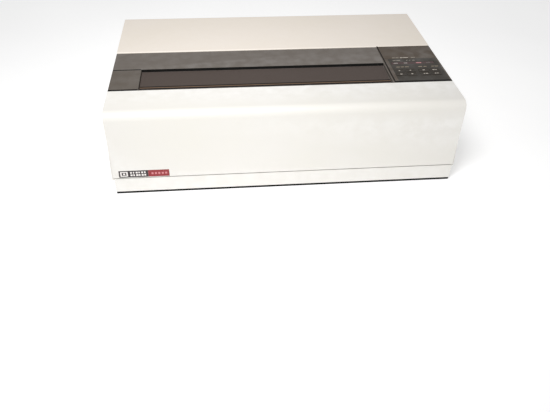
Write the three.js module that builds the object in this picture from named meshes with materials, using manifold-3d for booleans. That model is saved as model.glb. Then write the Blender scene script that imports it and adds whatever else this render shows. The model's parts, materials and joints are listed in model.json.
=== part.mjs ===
// Wide-carriage impact printer for fan-fold paper, closed for use. Millimetres, +Z up.
// The origin is the middle of the printer's footprint, at the surface that its feet stand on.
// +X is to the right and the front faces -Y. Depths called "back" are measured from the front face.
import * as THREE from "three";
import { mergeVertices } from "three/addons/utils/BufferGeometryUtils.js";
import Module from "manifold-3d";

const wasm = await Module();
wasm.setup();

// ---------------------------------------------------------------- driving dimensions: the case
const CASE_WIDTH = 640; // across the covers
const CASE_DEPTH = 420;
const CASE_HEIGHT = 170; // from the table to the top of the cream covers
const WALL = 3; // moulded shells
const TRIM_WALL = 2; // lips and inner walls of the dark trim
const SIDE_FLARE = 4; // each side wall stands this far out at its foot
const SIDE_SETBACK = 0.5; // and this far in at its top
const PLINTH_TOP = 34;
const PLINTH_SETBACK = 0.6;
const PLINTH_SIDE_SETBACK = 1;
const FLARE_FOOT = 31;
const FLARE_RETURN = 29;
const SKIRT_HEIGHT = 44.5; // of the covers, down each side
const SIDE_SEAM = 1.5; // between the covers' skirts and the side walls
const COVER_SEAM = 1.2; // between one cover and the next
const REAR_WALL_TOP_DROP = 48; // below the top of the case
const REAR_SKIRT_DROP = 42.5;
const HOOD_DEPTH = 82; // of the front cover's top
const HOOD_RADIUS = 15;
const HOOD_BOTTOM = 36;
const HOOD_LIP = 10;
const BAND_END = 240; // back edge of the dark band
const REAR_RADIUS = 12;
const REAR_COVER_LIP = 6;
const REAR_LIP_RADIUS = 2.5;
const RIB_THICKNESS = 2;
const RIB_DEPTH = 22;
const RIB_PLACES = [-160, 0, 160];

// feet
const FOOT_HEIGHT = 5;
const FOOT_RADIUS = 11;
const FOOT_TIP_RADIUS = 9.5;
const FOOT_INSET = 42;

// dark trim round the lid
const LEFT_BLOCK_WIDTH = 54;
const TRIM_DROP = 1.5; // below the cream covers
const TRIM_LIP = 16.5;
const SILL_DEPTH = 11.8;
const SLOT_FRONT = 162.2; // back edge of the lid
const SLOT_BACK = 167.5; // front edge of the strip behind the paper slot
const SLOT_LIP = 12.5;
const LEDGE_WIDTH = 6.5; // that the rear cover rests on
const LEDGE_THICKNESS = 2.7;

// lid and its hinge rod
const LID_DROP = 6; // below the top of the case
const LID_THICKNESS = 3;
const LID_START = 91.8;
const LID_SIDE_GAP = 1;
const LID_ROD_RADIUS = 1.5;
const LID_ROD_BACK = 88.5;
const LID_KNUCKLE_RADIUS = 3;
const LID_KNUCKLE_WIDTH = 14;
const LID_KNUCKLES = 4;
const LID_KNUCKLE_INSET = 4; // of the end knuckles from the lid's ends

// control panel, keys and indicators
const PANEL_WIDTH = 111;
const PANEL_DROP = 0.8;
const PANEL_SPLIT = 183; // groove between the plain rear part and the key field
const GROOVE = 0.8;
const KEY_COLUMNS = 4; // in two pairs
const KEY_PITCH_X = 21.6; // within a pair
const KEY_PAIR_PITCH = 48.2;
const KEY_PITCH_Y = 14.5;
const KEY_FIELD_BACK = 115.5; // of the front row's middle
const KEY_FIELD_INSET = 20; // of the first column's middle
const KEY_WIDTH = 19;
const KEY_DEPTH = 10;
const KEY_TRAVEL = 1.2;
const KEY_RISE = 1.2; // above the panel
const KEY_GAP = 0.4;
const KEY_FLANGE = 1.2;
const KEY_FLANGE_THICKNESS = 1.6;
const KEY_STEM_RADIUS = 2;
const KEYPAD_DROP = 10.4; // top of the keypad board below the top of the case
const BOARD_THICKNESS = 1.6;
const LENS_INSET = 12;
const LENS_DEPTH = 9;
const LENS_BACK = 163;
const LENS_THICKNESS = 1.3;

// badge on the front cover
const BADGE_WIDTH = 91;
const BADGE_HEIGHT = 14.5;
const BADGE_INSET = 11;
const BADGE_THICKNESS = 0.9;

// clearances
const FIT = 0.3; // between pieces that are fastened together
const RUN = 0.1; // radial, round a pin or shaft that turns or slides
const PASS = 0.6; // radial, round a shaft that only passes through

// front and rear cover hinges
const HOOD_PIN_BACK = 8;
const HOOD_PIN_HEIGHT = 49;
const HOOD_PIN_RADIUS = 2.5;
const HOOD_EAR_THICKNESS = 6;
const HOOD_EAR_RADIUS = 4.5;
const REAR_PIN_RADIUS = 1.2;
const REAR_KNUCKLE_RADIUS = 2.5;
const REAR_KNUCKLE_WIDTH = 12;
const REAR_HINGE_INSET = 35;

// ------------------------------------------------------- driving dimensions: the mechanism
const FRAME_THICKNESS = 2;
const FRAME_INSET = 4; // of each side frame's inner face from the end of the lid's opening
const TRAY_HEIGHT = 12; // underside of the mechanism's tray
const TRAY_THICKNESS = 1.6;
const TRAY_FLANGE = 14;
const TRAY_START = 62;
const TRAY_BACK_BAY = 80; // left free behind the tray
const TRAY_SIDE = 5;
const TRAY_POST_RADIUS = 7;
const TRAY_POST_INSET = 15;
const PRINT_LINE_DROP = 58; // below the top of the case
const PAPER_PLANE = 164.6; // the paper's face at the print line

const PIN_PITCH = 12.7; // of the holes along fan-fold paper
const WHEEL_PINS = 8;
const WHEEL_WIDTH = 8;
const WHEEL_RIM_DROP = 0.4; // of the rim below the paper's face
const WHEEL_PIN_RADIUS = 1.6;
const WHEEL_PIN_TIP_RADIUS = 0.96;
const WHEEL_PIN_LENGTH = 1.7;
const GEAR_MODULE = 1.25;
const GEAR_WIDTH = 6;
const PLATEN_TEETH = 36;
const TRACTOR_TEETH = 30;
const IDLER_TEETH = 32;
const PINION_TEETH = 12;
const GEAR_CLEARANCE = 2; // between the side frame and the gears
const PLATEN_SHAFT_RADIUS = 5;
const PLATEN_END_GAP = 12; // between the roller and each side frame
const PINION_ANGLE = -75; // degrees, seen from the right, from the platen's axis
const MOTOR_RADIUS = 20;
const FEED_MOTOR_LENGTH = 40;
const MOTOR_SHAFT_RADIUS = 2.5;
const SPACER_RADIUS = 3;
const SPACER_SPREAD = 12; // of the two spacers each side of the motor's shaft
const SPACER_DROP = 14; // below it

const RAIL_DROP = 36; // of both carriage rails below the print line
const REAR_RAIL_RADIUS = 6;
const FRONT_RAIL_RADIUS = 5;
const REAR_RAIL_BACK = 138;
const FRONT_RAIL_BACK = 88;
const CARRIAGE_WIDTH = 64;
const CARRIAGE_FRONT = 78;
const CARRIAGE_BACK = 150;
const CARRIAGE_HEIGHT = 24;
const CARRIAGE_UNDER_RAIL = 10;
const CHEEK_THICKNESS = 3;
const CHEEK_FRONT = 102;
const CHEEK_BACK = 145;
const HEAD_RADIUS = 20;
const HEAD_CORE_RADIUS = 16;
const HEAD_FRONT = 104;
const HEAD_BACK = 144;
const HEAD_FINS = 6;
const NOSE_ROOT_RADIUS = 10;
const NOSE_TIP_RADIUS = 4;
const NOSE_GAP = 3.2; // from the nose to the paper
const CARTRIDGE_WIDTH = 100;
const CARTRIDGE_FRONT = 98;
const CARTRIDGE_BACK = 146;
const CARTRIDGE_HEIGHT = 12;
const CARTRIDGE_RISE = 2; // above the print head
const CARTRIDGE_END_GAP = 7; // to the side frame, at each end of the carriage's travel
const RIBBON_ARM_WIDTH = 7;
const RIBBON_ARM_ROOT = 8; // depth of its foot under the cartridge
const RIBBON_ARM_DROP = 8; // below the print line
const RIBBON_HEIGHT = 12;
const RIBBON_THICKNESS = 0.8;
const RIBBON_GAP = 1.8; // from the ribbon to the paper
const KNOB_RADIUS = 9;
const KNOB_HEIGHT = 6;
const KNOB_STEM_RADIUS = 2;
const KNOB_OFFSET = 30;
const KNOB_GRIP = 3; // thickness of its grip
const KNOB_WELL = 6; // depth of the hole that it sits in
const KNOB_BACK = 114;

const BELT_WIDTH = 8;
const BELT_THICKNESS = 1.5;
const PULLEY_RADIUS = 12;
const PULLEY_FLANGE = 2.5;
const PULLEY_FLANGE_THICKNESS = 1.4;
const BELT_BACK = 113;
const BELT_BELOW_CARRIAGE = 4;
const CLAMP_WIDTH = 16;
const CLAMP_WALL = 4;
const BELT_CLEARANCE = 0.4;
const IDLER_INSET = 22; // of the idler pulley's axis from the side frame
const POST_RADIUS = 3;
const CARRIAGE_MOTOR_HEIGHT = 34;

const BAIL_PIVOT_FORWARD = 52; // of the platen's axis
const BAIL_ROD_RADIUS = 2.5;
const BAIL_ROD_FORWARD = 15.7;
const BAIL_ROD_RISE = 18.8;
const BAIL_ARM_THICKNESS = 2.5;
const BAIL_ARM_RADIUS = 4;
const BAIL_ARM_GAP = 1.5;
const BAIL_PIN_RADIUS = 2.5;
const BAIL_ROLLER_LENGTH = 30;
const BAIL_ROLLER_PLACES = [-140, 0, 140]; // from the middle of the platen

const TRACTOR_BACK = 262;
const TRACTOR_RISE = 9; // of the pin wheels' axis above the platen's
const TRACTOR_SHAFT_SIDE = 8;
const TRACTOR_JOURNAL_RADIUS = 5;
const TRACTOR_RAIL_BACK = 292;
const TRACTOR_RAIL_DROP = 9; // below the pin wheels' axis
const TRACTOR_RAIL_RADIUS = 4;
const TRACTOR_CHEEK = 5;
const TRACTOR_CHEEK_RADIUS = 13;
const TRACTOR_RAIL_BOSS = 9;
const TRACTOR_SHELF_WIDTH = 20;
const TRACTOR_SHELF_THICKNESS = 2;
const TRACTOR_INSET = 32; // of each tractor's outer face from its side frame, as set for wide paper
const DOOR_WIDTH = 20;
const DOOR_THICKNESS = 2.4;
const DOOR_START = 250;
const DOOR_END = 275;
const DOOR_PIN_RADIUS = 1.2;
const DOOR_KNUCKLE_RADIUS = 2.2;
const DOOR_LUG = 3;
const DOOR_RISE = 3.6; // of the door's hinge above the wheel's rim

const BOARD_FROM_LEFT = 80;
const BOARD_LENGTH = 350;
const BOARD_DEPTH = 54;
const BOARD_HEIGHT = 16; // underside above the table
const BOARD_REAR_GAP = 20;
const CHIPS = 5;
const CHIP_LENGTH = 34;
const CHIP_DEPTH = 14;
const CHIP_HEIGHT = 4;
const CHIP_PITCH = 48;
const CHIP_START = 30; // of the first chip from the board's left end
const CHIP_FRONT = 12; // from the board's front edge
const SINK_FROM_RIGHT = 80;
const SINK_LENGTH = 60;
const SINK_FRONT = 10;
const SINK_FINS = 4;
const SINK_PITCH = 7;
const SINK_FIN = 2;
const SINK_BASE = 3;
const SINK_HEIGHT = 22;
const SEAT = 0.5; // how far a soldered piece reaches into the board
const STANDOFF_RADIUS = 4;
const STANDOFF_INSET = 8; // from the board's edges
const CONNECTOR_FROM_LEFT = 395; // of the interface connector's middle
const CONNECTOR_WIDTH = 66;
const CONNECTOR_HEIGHT = 18;
const CONNECTOR_DEPTH = 16;
const CONNECTOR_NOSE_WIDTH = 56;
const CONNECTOR_NOSE_HEIGHT = 12;
const CONNECTOR_SLOT_WIDTH = 49;
const CONNECTOR_SLOT_HEIGHT = 6.5;
const CONNECTOR_SLOT_DEPTH = 10;
const INLET_FROM_RIGHT = 58; // of the mains module's middle
const INLET_WIDTH = 60;
const INLET_HEIGHT = 30;
const INLET_DEPTH = 25;
const INLET_MIDDLE_HEIGHT = 43;
const SOCKET_WIDTH = 24;
const SOCKET_HEIGHT = 17;
const SOCKET_DEPTH = 16;
const SOCKET_OFFSET = 13;
const ROCKER_WIDTH = 15;
const ROCKER_HEIGHT = 22;
const ROCKER_DEPTH = 8;
const ROCKER_OFFSET = 17;
const ROCKER_TILT = 7; // degrees, off at rest
const ROCKER_PIN_RADIUS = 1.5;
const ROCKER_DISH = 1.1; // of its face
const ROCKER_HEEL = 4; // how far its back is cut away at each end
const ROCKER_FACE_DROP = 1.5; // of its ends below the module's face
const ROCKER_GAP = 1;
const TRANSFORMER_FROM_RIGHT = 55;
const TRANSFORMER_WIDTH = 76;
const TRANSFORMER_DEPTH = 46;
const TRANSFORMER_HEIGHT = 58;
const TRANSFORMER_REAR_GAP = 85;
const COIL_OVERHANG = 11;
const COIL_INSET = 10;
const PAPER_SLOT_HEIGHT = 14;
const PAPER_SLOT_MARGIN = 12;

// ------------------------------------------------------------------------ derived places
const halfWidth = CASE_WIDTH / 2;
const top = CASE_HEIGHT;
const back = (distance) => distance - CASE_DEPTH / 2;
const sideSeamTop = top - SKIRT_HEIGHT;
const sideWallTop = sideSeamTop - SIDE_SEAM;
const rearWallTop = top - REAR_WALL_TOP_DROP;
const rearSkirtBottom = top - REAR_SKIRT_DROP;
const floorTop = FOOT_HEIGHT + WALL;
const bandStart = HOOD_DEPTH + COVER_SEAM;
const rearCoverStart = BAND_END + COVER_SEAM;
const trimTop = top - TRIM_DROP;
const panelTop = top - PANEL_DROP;
const lidTop = top - LID_DROP;
const lidLeft = -halfWidth + LEFT_BLOCK_WIDTH;
const panelLeft = halfWidth - PANEL_WIDTH;
const lidRight = panelLeft - TRIM_WALL;
const lidRodHeight = lidTop - LID_THICKNESS / 2;
const ledgeTop = top - REAR_COVER_LIP - FIT;

const frameLeft = lidLeft + FRAME_INSET; // inner faces of the two side frames
const frameRight = lidRight - FRAME_INSET;
const frameMiddle = (frameLeft + frameRight) / 2;
const trayTop = TRAY_HEIGHT + TRAY_THICKNESS;
const trayEnd = CASE_DEPTH - TRAY_BACK_BAY;
const frameBottom = trayTop + FIT;
const wheelRadius = (PIN_PITCH * WHEEL_PINS) / (2 * Math.PI);
const platenRadius = (wheelRadius * PLATEN_TEETH) / TRACTOR_TEETH;
const platenBack = PAPER_PLANE + platenRadius;
const platenHeight = top - PRINT_LINE_DROP;
const pitchRadius = (teeth) => (teeth * GEAR_MODULE) / 2;
const gearStart = frameRight + FRAME_THICKNESS + GEAR_CLEARANCE;
const gearEnd = gearStart + GEAR_WIDTH;
const tractorHeight = platenHeight + TRACTOR_RISE;
const tractorRailHeight = tractorHeight - TRACTOR_RAIL_DROP;

const pinionReach = pitchRadius(PLATEN_TEETH) + pitchRadius(PINION_TEETH);
const pinionAngle = THREE.MathUtils.degToRad(PINION_ANGLE);
const pinionBack = platenBack + pinionReach * Math.cos(pinionAngle);
const pinionHeight = platenHeight + pinionReach * Math.sin(pinionAngle);

// The idler gear touches both the platen's and the tractor shaft's gears, below the line between them.
const idlerToPlaten = pitchRadius(PLATEN_TEETH) + pitchRadius(IDLER_TEETH);
const idlerToTractor = pitchRadius(TRACTOR_TEETH) + pitchRadius(IDLER_TEETH);
const platenToTractor = Math.hypot(TRACTOR_BACK - platenBack, TRACTOR_RISE);
const lineAngle = Math.atan2(TRACTOR_RISE, TRACTOR_BACK - platenBack);
const idlerAngle =
  lineAngle -
  Math.acos(
    (idlerToPlaten ** 2 + platenToTractor ** 2 - idlerToTractor ** 2) /
      (2 * idlerToPlaten * platenToTractor),
  );
const idlerBack = platenBack + idlerToPlaten * Math.cos(idlerAngle);
const idlerHeight = platenHeight + idlerToPlaten * Math.sin(idlerAngle);

const railHeight = platenHeight - RAIL_DROP;
const carriageBottom = railHeight - CARRIAGE_UNDER_RAIL;
const carriageTop = carriageBottom + CARRIAGE_HEIGHT;
const carriageHome = frameLeft + CARTRIDGE_END_GAP + CARTRIDGE_WIDTH / 2;
const cartridgeBottom = platenHeight + HEAD_RADIUS + CARTRIDGE_RISE;
const cartridgeTop = cartridgeBottom + CARTRIDGE_HEIGHT;
const beltTop = carriageBottom - BELT_BELOW_CARRIAGE;
const beltBottom = beltTop - BELT_WIDTH;
const frontStrand = BELT_BACK - PULLEY_RADIUS - BELT_THICKNESS / 2;
const idlerPulleyX = frameLeft + IDLER_INSET;
const drivePulleyX = frameRight - IDLER_INSET;

const bailPivotBack = platenBack - BAIL_PIVOT_FORWARD;
const bailRodBack = platenBack - BAIL_ROD_FORWARD;
const bailRodHeight = platenHeight + BAIL_ROD_RISE;
const bailRollerRadius = Math.hypot(BAIL_ROD_FORWARD, BAIL_ROD_RISE) - platenRadius - FIT;

// ------------------------------------------------------------------------------- finishes
const finish = (color, roughness, metalness) =>
  new THREE.MeshStandardMaterial({ color, roughness, metalness });
const CREAM = () => finish(0xdedace, 0.55, 0);
const DARK_TRIM = () => finish(0x4a4541, 0.5, 0);
const SMOKED = () => finish(0x332e2b, 0.25, 0);
const PANEL_BLACK = () => finish(0x35302d, 0.5, 0);
const KEY_GREY = () => finish(0x3c3835, 0.6, 0);
const RUBBER = () => finish(0x1c1b1a, 0.9, 0);
const STEEL = () => finish(0xb4b6b8, 0.3, 1);
const ZINC = () => finish(0x9fa3a6, 0.45, 0.9);
const BRASS = () => finish(0xc2a065, 0.35, 1);
const CAST = () => finish(0x8b8d90, 0.5, 0.8);
const BLACK_PLASTIC = () => finish(0x232324, 0.6, 0);
const NATURAL_PLASTIC = () => finish(0xe4e1d8, 0.5, 0);
const BOARD_GREEN = () => finish(0x1f5a3a, 0.5, 0);
const BADGE = () => finish(0x6f1f26, 0.4, 0);
const LENS_RED = () => finish(0x3a1518, 0.2, 0);
const VARNISH = () => finish(0x6a5433, 0.5, 0.2);

// ---------------------------------------------------------------------- solids and meshes
// A closed geometry as a solid that can be joined and cut.
function solid(geometry) {
  const bare = geometry.index ? geometry.toNonIndexed() : geometry.clone();
  bare.deleteAttribute("normal");
  bare.deleteAttribute("uv");
  const merged = mergeVertices(bare, 1e-4);
  return new wasm.Manifold(
    new wasm.Mesh({
      numProp: 3,
      vertProperties: merged.attributes.position.array,
      triVerts: new Uint32Array(merged.index.array),
    }),
  );
}

function join(...pieces) {
  return pieces.reduce((whole, piece) => whole.add(piece));
}

function cut(body, ...tools) {
  return tools.reduce((left, tool) => left.subtract(tool), body);
}

const printer = new THREE.Group();

// Adds a finished solid to the printer as one named piece.
function piece(name, body, material) {
  const made = body.getMesh();
  const geometry = new THREE.BufferGeometry();
  const points = new Float32Array(made.numVert * 3);
  for (let i = 0; i < made.numVert; i++) {
    const start = i * made.numProp;
    points.set(made.vertProperties.subarray(start, start + 3), i * 3);
  }
  geometry.setAttribute("position", new THREE.BufferAttribute(points, 3));
  geometry.setIndex(new THREE.BufferAttribute(new Uint32Array(made.triVerts), 1));
  const flat = geometry.toNonIndexed();
  flat.computeVertexNormals();
  const mesh = new THREE.Mesh(flat, material);
  mesh.name = name;
  printer.add(mesh);
}

// A block between two x, two depths behind the front face and two heights.
function block(x0, x1, back0, back1, z0, z1) {
  const geometry = new THREE.BoxGeometry(x1 - x0, back1 - back0, z1 - z0);
  geometry.translate((x0 + x1) / 2, back((back0 + back1) / 2), (z0 + z1) / 2);
  return solid(geometry);
}

const SEGMENTS = 20;

// A rod along X, centred on a depth behind the front face and a height.
function rodX(radius, x0, x1, atBack, z, segments = SEGMENTS) {
  const geometry = new THREE.CylinderGeometry(radius, radius, x1 - x0, segments);
  geometry.rotateZ(Math.PI / 2);
  geometry.translate((x0 + x1) / 2, back(atBack), z);
  return solid(geometry);
}

function rodY(radius, x, back0, back1, z, segments = SEGMENTS) {
  const geometry = new THREE.CylinderGeometry(radius, radius, back1 - back0, segments);
  geometry.translate(x, back((back0 + back1) / 2), z);
  return solid(geometry);
}

function rodZ(radius, x, atBack, z0, z1, segments = SEGMENTS) {
  const geometry = new THREE.CylinderGeometry(radius, radius, z1 - z0, segments);
  geometry.rotateX(Math.PI / 2);
  geometry.translate(x, back(atBack), (z0 + z1) / 2);
  return solid(geometry);
}

// A side outline, drawn as depth behind the front face against height, run along X.
function alongX(shape, x0, x1, arcSteps = 6) {
  const geometry = new THREE.ExtrudeGeometry(shape, {
    depth: x1 - x0,
    bevelEnabled: false,
    curveSegments: arcSteps,
  });
  geometry.applyMatrix4(new THREE.Matrix4().set(0, 0, 1, x0, 1, 0, 0, back(0), 0, 1, 0, 0, 0, 0, 0, 1));
  return solid(geometry);
}

// A front outline, drawn as x against height, run from one depth to another.
function alongY(shape, back0, back1, arcSteps = 8) {
  const geometry = new THREE.ExtrudeGeometry(shape, {
    depth: back1 - back0,
    bevelEnabled: false,
    curveSegments: arcSteps,
  });
  geometry.applyMatrix4(new THREE.Matrix4().set(1, 0, 0, 0, 0, 0, -1, back(back1), 0, 1, 0, 0, 0, 0, 0, 1));
  return solid(geometry);
}

// A plan outline, drawn as x against depth behind the front face, run upwards.
function alongZ(shape, z0, z1, arcSteps = 8) {
  const geometry = new THREE.ExtrudeGeometry(shape, {
    depth: z1 - z0,
    bevelEnabled: false,
    curveSegments: arcSteps,
  });
  geometry.translate(0, back(0), z0);
  return solid(geometry);
}

function outline(points) {
  return new THREE.Shape(points.map(([a, b]) => new THREE.Vector2(a, b)));
}

// A plate with round ends about two points, such as an arm or a cheek.
function link(a, radiusA, b, radiusB) {
  const along = Math.atan2(b[1] - a[1], b[0] - a[0]);
  const reach = Math.hypot(b[0] - a[0], b[1] - a[1]);
  const lean = Math.asin((radiusA - radiusB) / reach);
  const shape = new THREE.Shape();
  shape.absarc(a[0], a[1], radiusA, along + Math.PI / 2 - lean, along - Math.PI / 2 + lean, false);
  shape.absarc(b[0], b[1], radiusB, along - Math.PI / 2 + lean, along + Math.PI / 2 - lean, false);
  shape.closePath();
  return shape;
}

// ----------------------------------------------------------------------------------- gears
const TOOTH_SHARE = 0.42; // tooth thickness on the pitch circle, as a share of the pitch
const ADDENDUM = 0.95; // in modules
const DEDENDUM = 1.25;
const FLANK = Math.tan(THREE.MathUtils.degToRad(20));

// A spur gear about a line along X. Its first tooth points along the angle given, seen from the right.
function gear(teeth, boreRadius, x0, x1, atBack, z, firstTooth) {
  const pitch = pitchRadius(teeth);
  const tip = pitch + ADDENDUM * GEAR_MODULE;
  const root = pitch - DEDENDUM * GEAR_MODULE;
  const halfTooth = (TOOTH_SHARE * Math.PI * GEAR_MODULE) / 2;
  const halfTip = (halfTooth - FLANK * (tip - pitch)) / tip;
  const halfRoot = (halfTooth + FLANK * (pitch - root)) / root;
  const points = [];
  for (let i = 0; i < teeth; i++) {
    const middle = firstTooth + (i * 2 * Math.PI) / teeth;
    points.push([root, middle - halfRoot], [tip, middle - halfTip]);
    points.push([tip, middle + halfTip], [root, middle + halfRoot]);
  }
  const shape = new THREE.Shape(
    points.map(([r, angle]) => new THREE.Vector2(atBack + r * Math.cos(angle), z + r * Math.sin(angle))),
  );
  const hole = new THREE.Path();
  hole.absarc(atBack, z, boreRadius, 0, 2 * Math.PI, true);
  shape.holes.push(hole);
  return alongX(shape, x0, x1);
}

// The first tooth's angle of a gear that meshes with another whose first tooth's angle is known.
// direction is the angle of the line from the known gear to the new one.
function meshing(knownTeeth, knownFirst, newTeeth, direction) {
  const phase = ((direction - knownFirst) * knownTeeth) / (2 * Math.PI);
  return direction + Math.PI - ((0.5 - phase) * 2 * Math.PI) / newTeeth;
}

const platenTooth = 0;
const pinionTooth = meshing(PLATEN_TEETH, platenTooth, PINION_TEETH, pinionAngle);
const idlerTooth = meshing(PLATEN_TEETH, platenTooth, IDLER_TEETH, idlerAngle);
const idlerToTractorAngle = Math.atan2(tractorHeight - idlerHeight, TRACTOR_BACK - idlerBack);
const tractorTooth = meshing(IDLER_TEETH, idlerTooth, TRACTOR_TEETH, idlerToTractorAngle);

// --------------------------------------------------------------------------- lower case
const boardLeft = -halfWidth + BOARD_FROM_LEFT;
const boardRight = boardLeft + BOARD_LENGTH;
const boardEnd = CASE_DEPTH - BOARD_REAR_GAP;
const boardStart = boardEnd - BOARD_DEPTH;
const connectorX = -halfWidth + CONNECTOR_FROM_LEFT;
const connectorHeight = BOARD_HEIGHT + BOARD_THICKNESS + FIT + CONNECTOR_HEIGHT / 2;
const inletX = halfWidth - INLET_FROM_RIGHT;
const rearPinBack = CASE_DEPTH - REAR_KNUCKLE_RADIUS - FIT;
const rearPinHeight = (rearWallTop + rearSkirtBottom) / 2;
const rearHinges = [-halfWidth + REAR_HINGE_INSET, halfWidth - REAR_HINGE_INSET];
const slotLeft = frameLeft + PAPER_SLOT_MARGIN;
const slotRight = frameRight - PAPER_SLOT_MARGIN;
const trayLeft = frameLeft - TRAY_SIDE;
const trayRight = frameRight + TRAY_SIDE;

function caseOutline(inset, bottom) {
  const foot = halfWidth - PLINTH_SIDE_SETBACK - inset;
  const flare = halfWidth + SIDE_FLARE - inset;
  const crown = halfWidth - SIDE_SETBACK - inset;
  const ledge = inset ? PLINTH_TOP - 1 : FLARE_RETURN;
  const turn = inset ? PLINTH_TOP - 1 : FLARE_FOOT;
  const high = sideWallTop + (inset ? 1 : 0);
  return outline([
    [-foot, bottom],
    [foot, bottom],
    [foot, ledge],
    [flare, turn],
    [crown, high],
    [-crown, high],
    [-flare, turn],
    [-foot, ledge],
  ]);
}

function lowerCase() {
  const plinthBack = PLINTH_SETBACK + WALL;
  const plinthSide = halfWidth - PLINTH_SIDE_SETBACK;
  const outer = join(
    alongY(caseOutline(0, FOOT_HEIGHT), plinthBack, CASE_DEPTH),
    block(-plinthSide, plinthSide, PLINTH_SETBACK, plinthBack + 1, FOOT_HEIGHT, PLINTH_TOP),
  );
  const hollow = alongY(caseOutline(WALL, floorTop), plinthBack, CASE_DEPTH - WALL);
  const bare = cut(
    outer,
    hollow,
    block(-halfWidth - 9, halfWidth + 9, CASE_DEPTH - 6, CASE_DEPTH + 1, rearWallTop, top),
    block(slotLeft, slotRight, CASE_DEPTH - 6, CASE_DEPTH + 1, rearWallTop - PAPER_SLOT_HEIGHT, top),
    block(
      connectorX - CONNECTOR_NOSE_WIDTH / 2 - FIT,
      connectorX + CONNECTOR_NOSE_WIDTH / 2 + FIT,
      CASE_DEPTH - 6,
      CASE_DEPTH + 1,
      connectorHeight - CONNECTOR_NOSE_HEIGHT / 2 - FIT,
      connectorHeight + CONNECTOR_NOSE_HEIGHT / 2 + FIT,
    ),
    block(
      inletX - INLET_WIDTH / 2 - FIT,
      inletX + INLET_WIDTH / 2 + FIT,
      CASE_DEPTH - 6,
      CASE_DEPTH + 1,
      INLET_MIDDLE_HEIGHT - INLET_HEIGHT / 2 - FIT,
      INLET_MIDDLE_HEIGHT + INLET_HEIGHT / 2 + FIT,
    ),
  );
  return join(bare, ...trayPosts(), ...boardPosts(), ...hoodPins(), ...rearKnuckles());
}

function trayPosts() {
  const posts = [];
  for (const x of [trayLeft + TRAY_POST_INSET, trayRight - TRAY_POST_INSET]) {
    for (const atBack of [TRAY_START + TRAY_POST_INSET, trayEnd - TRAY_POST_INSET]) {
      posts.push(rodZ(TRAY_POST_RADIUS, x, atBack, floorTop - 1, TRAY_HEIGHT - FIT, 16));
    }
  }
  return posts;
}

function boardPosts() {
  const posts = [];
  for (const x of [boardLeft + STANDOFF_INSET, boardRight - STANDOFF_INSET]) {
    for (const atBack of [boardStart + STANDOFF_INSET, boardEnd - STANDOFF_INSET]) {
      posts.push(rodZ(STANDOFF_RADIUS, x, atBack, floorTop - 1, BOARD_HEIGHT - FIT, 12));
    }
  }
  return posts;
}

// The inner face of a side wall at a height, from its slope.
function sideWallInner(z) {
  const flare = halfWidth + SIDE_FLARE;
  const crown = halfWidth - SIDE_SETBACK;
  const share = (z - FLARE_FOOT) / (sideWallTop - FLARE_FOOT);
  return flare + (crown - flare) * share - WALL;
}

function hoodPins() {
  const wall = sideWallInner(HOOD_PIN_HEIGHT);
  const tip = halfWidth - PASS - HOOD_EAR_THICKNESS - 1;
  return [-1, 1].map((side) => {
    const ends = [side * tip, side * (wall + 1)].sort((a, b) => a - b);
    return rodX(HOOD_PIN_RADIUS, ...ends, HOOD_PIN_BACK, HOOD_PIN_HEIGHT, 16);
  });
}

function rearKnuckles() {
  const half = REAR_KNUCKLE_WIDTH / 2;
  const reach = half + REAR_KNUCKLE_WIDTH - 2;
  return rearHinges.map((x) =>
    join(
      rodX(REAR_KNUCKLE_RADIUS, x - half, x + half, rearPinBack, rearPinHeight, 12),
      rodX(REAR_PIN_RADIUS, x - reach, x + reach, rearPinBack, rearPinHeight, 12),
      block(
        x - half,
        x + half,
        CASE_DEPTH - WALL,
        rearPinBack + REAR_KNUCKLE_RADIUS / 2,
        rearWallTop - 1,
        rearPinHeight,
      ),
    ),
  );
}

piece("lower_case", lowerCase(), CREAM());

// -------------------------------------------------------------------------------- feet
for (const [side, x] of [["left", -halfWidth + FOOT_INSET], ["right", halfWidth - FOOT_INSET]]) {
  for (const [end, atBack] of [["front", FOOT_INSET], ["rear", CASE_DEPTH - FOOT_INSET]]) {
    const foot = new THREE.CylinderGeometry(FOOT_RADIUS, FOOT_TIP_RADIUS, FOOT_HEIGHT - FIT, SEGMENTS);
    foot.rotateX(Math.PI / 2);
    foot.translate(x, back(atBack), (FOOT_HEIGHT - FIT) / 2);
    piece(`foot_${end}_${side}`, solid(foot), RUBBER());
  }
}

// ------------------------------------------------------------------------- front cover
// The side view of a plate that runs up the front, round the corner and back along the top.
function hoodOutline() {
  const shape = new THREE.Shape();
  shape.moveTo(0, HOOD_BOTTOM);
  shape.lineTo(WALL, HOOD_BOTTOM);
  shape.lineTo(WALL, top - HOOD_RADIUS);
  shape.absarc(HOOD_RADIUS, top - HOOD_RADIUS, HOOD_RADIUS - WALL, Math.PI, Math.PI / 2, true);
  shape.lineTo(HOOD_DEPTH - WALL, top - WALL);
  shape.lineTo(HOOD_DEPTH - WALL, top - HOOD_LIP);
  shape.lineTo(HOOD_DEPTH, top - HOOD_LIP);
  shape.lineTo(HOOD_DEPTH, top);
  shape.lineTo(HOOD_RADIUS, top);
  shape.absarc(HOOD_RADIUS, top - HOOD_RADIUS, HOOD_RADIUS, Math.PI / 2, Math.PI, false);
  shape.closePath();
  return shape;
}

function hoodSkirtOutline() {
  const shape = new THREE.Shape();
  shape.moveTo(0, sideSeamTop);
  shape.lineTo(HOOD_DEPTH, sideSeamTop);
  shape.lineTo(HOOD_DEPTH, top);
  shape.lineTo(HOOD_RADIUS, top);
  shape.absarc(HOOD_RADIUS, top - HOOD_RADIUS, HOOD_RADIUS, Math.PI / 2, Math.PI, false);
  shape.closePath();
  return shape;
}

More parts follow.
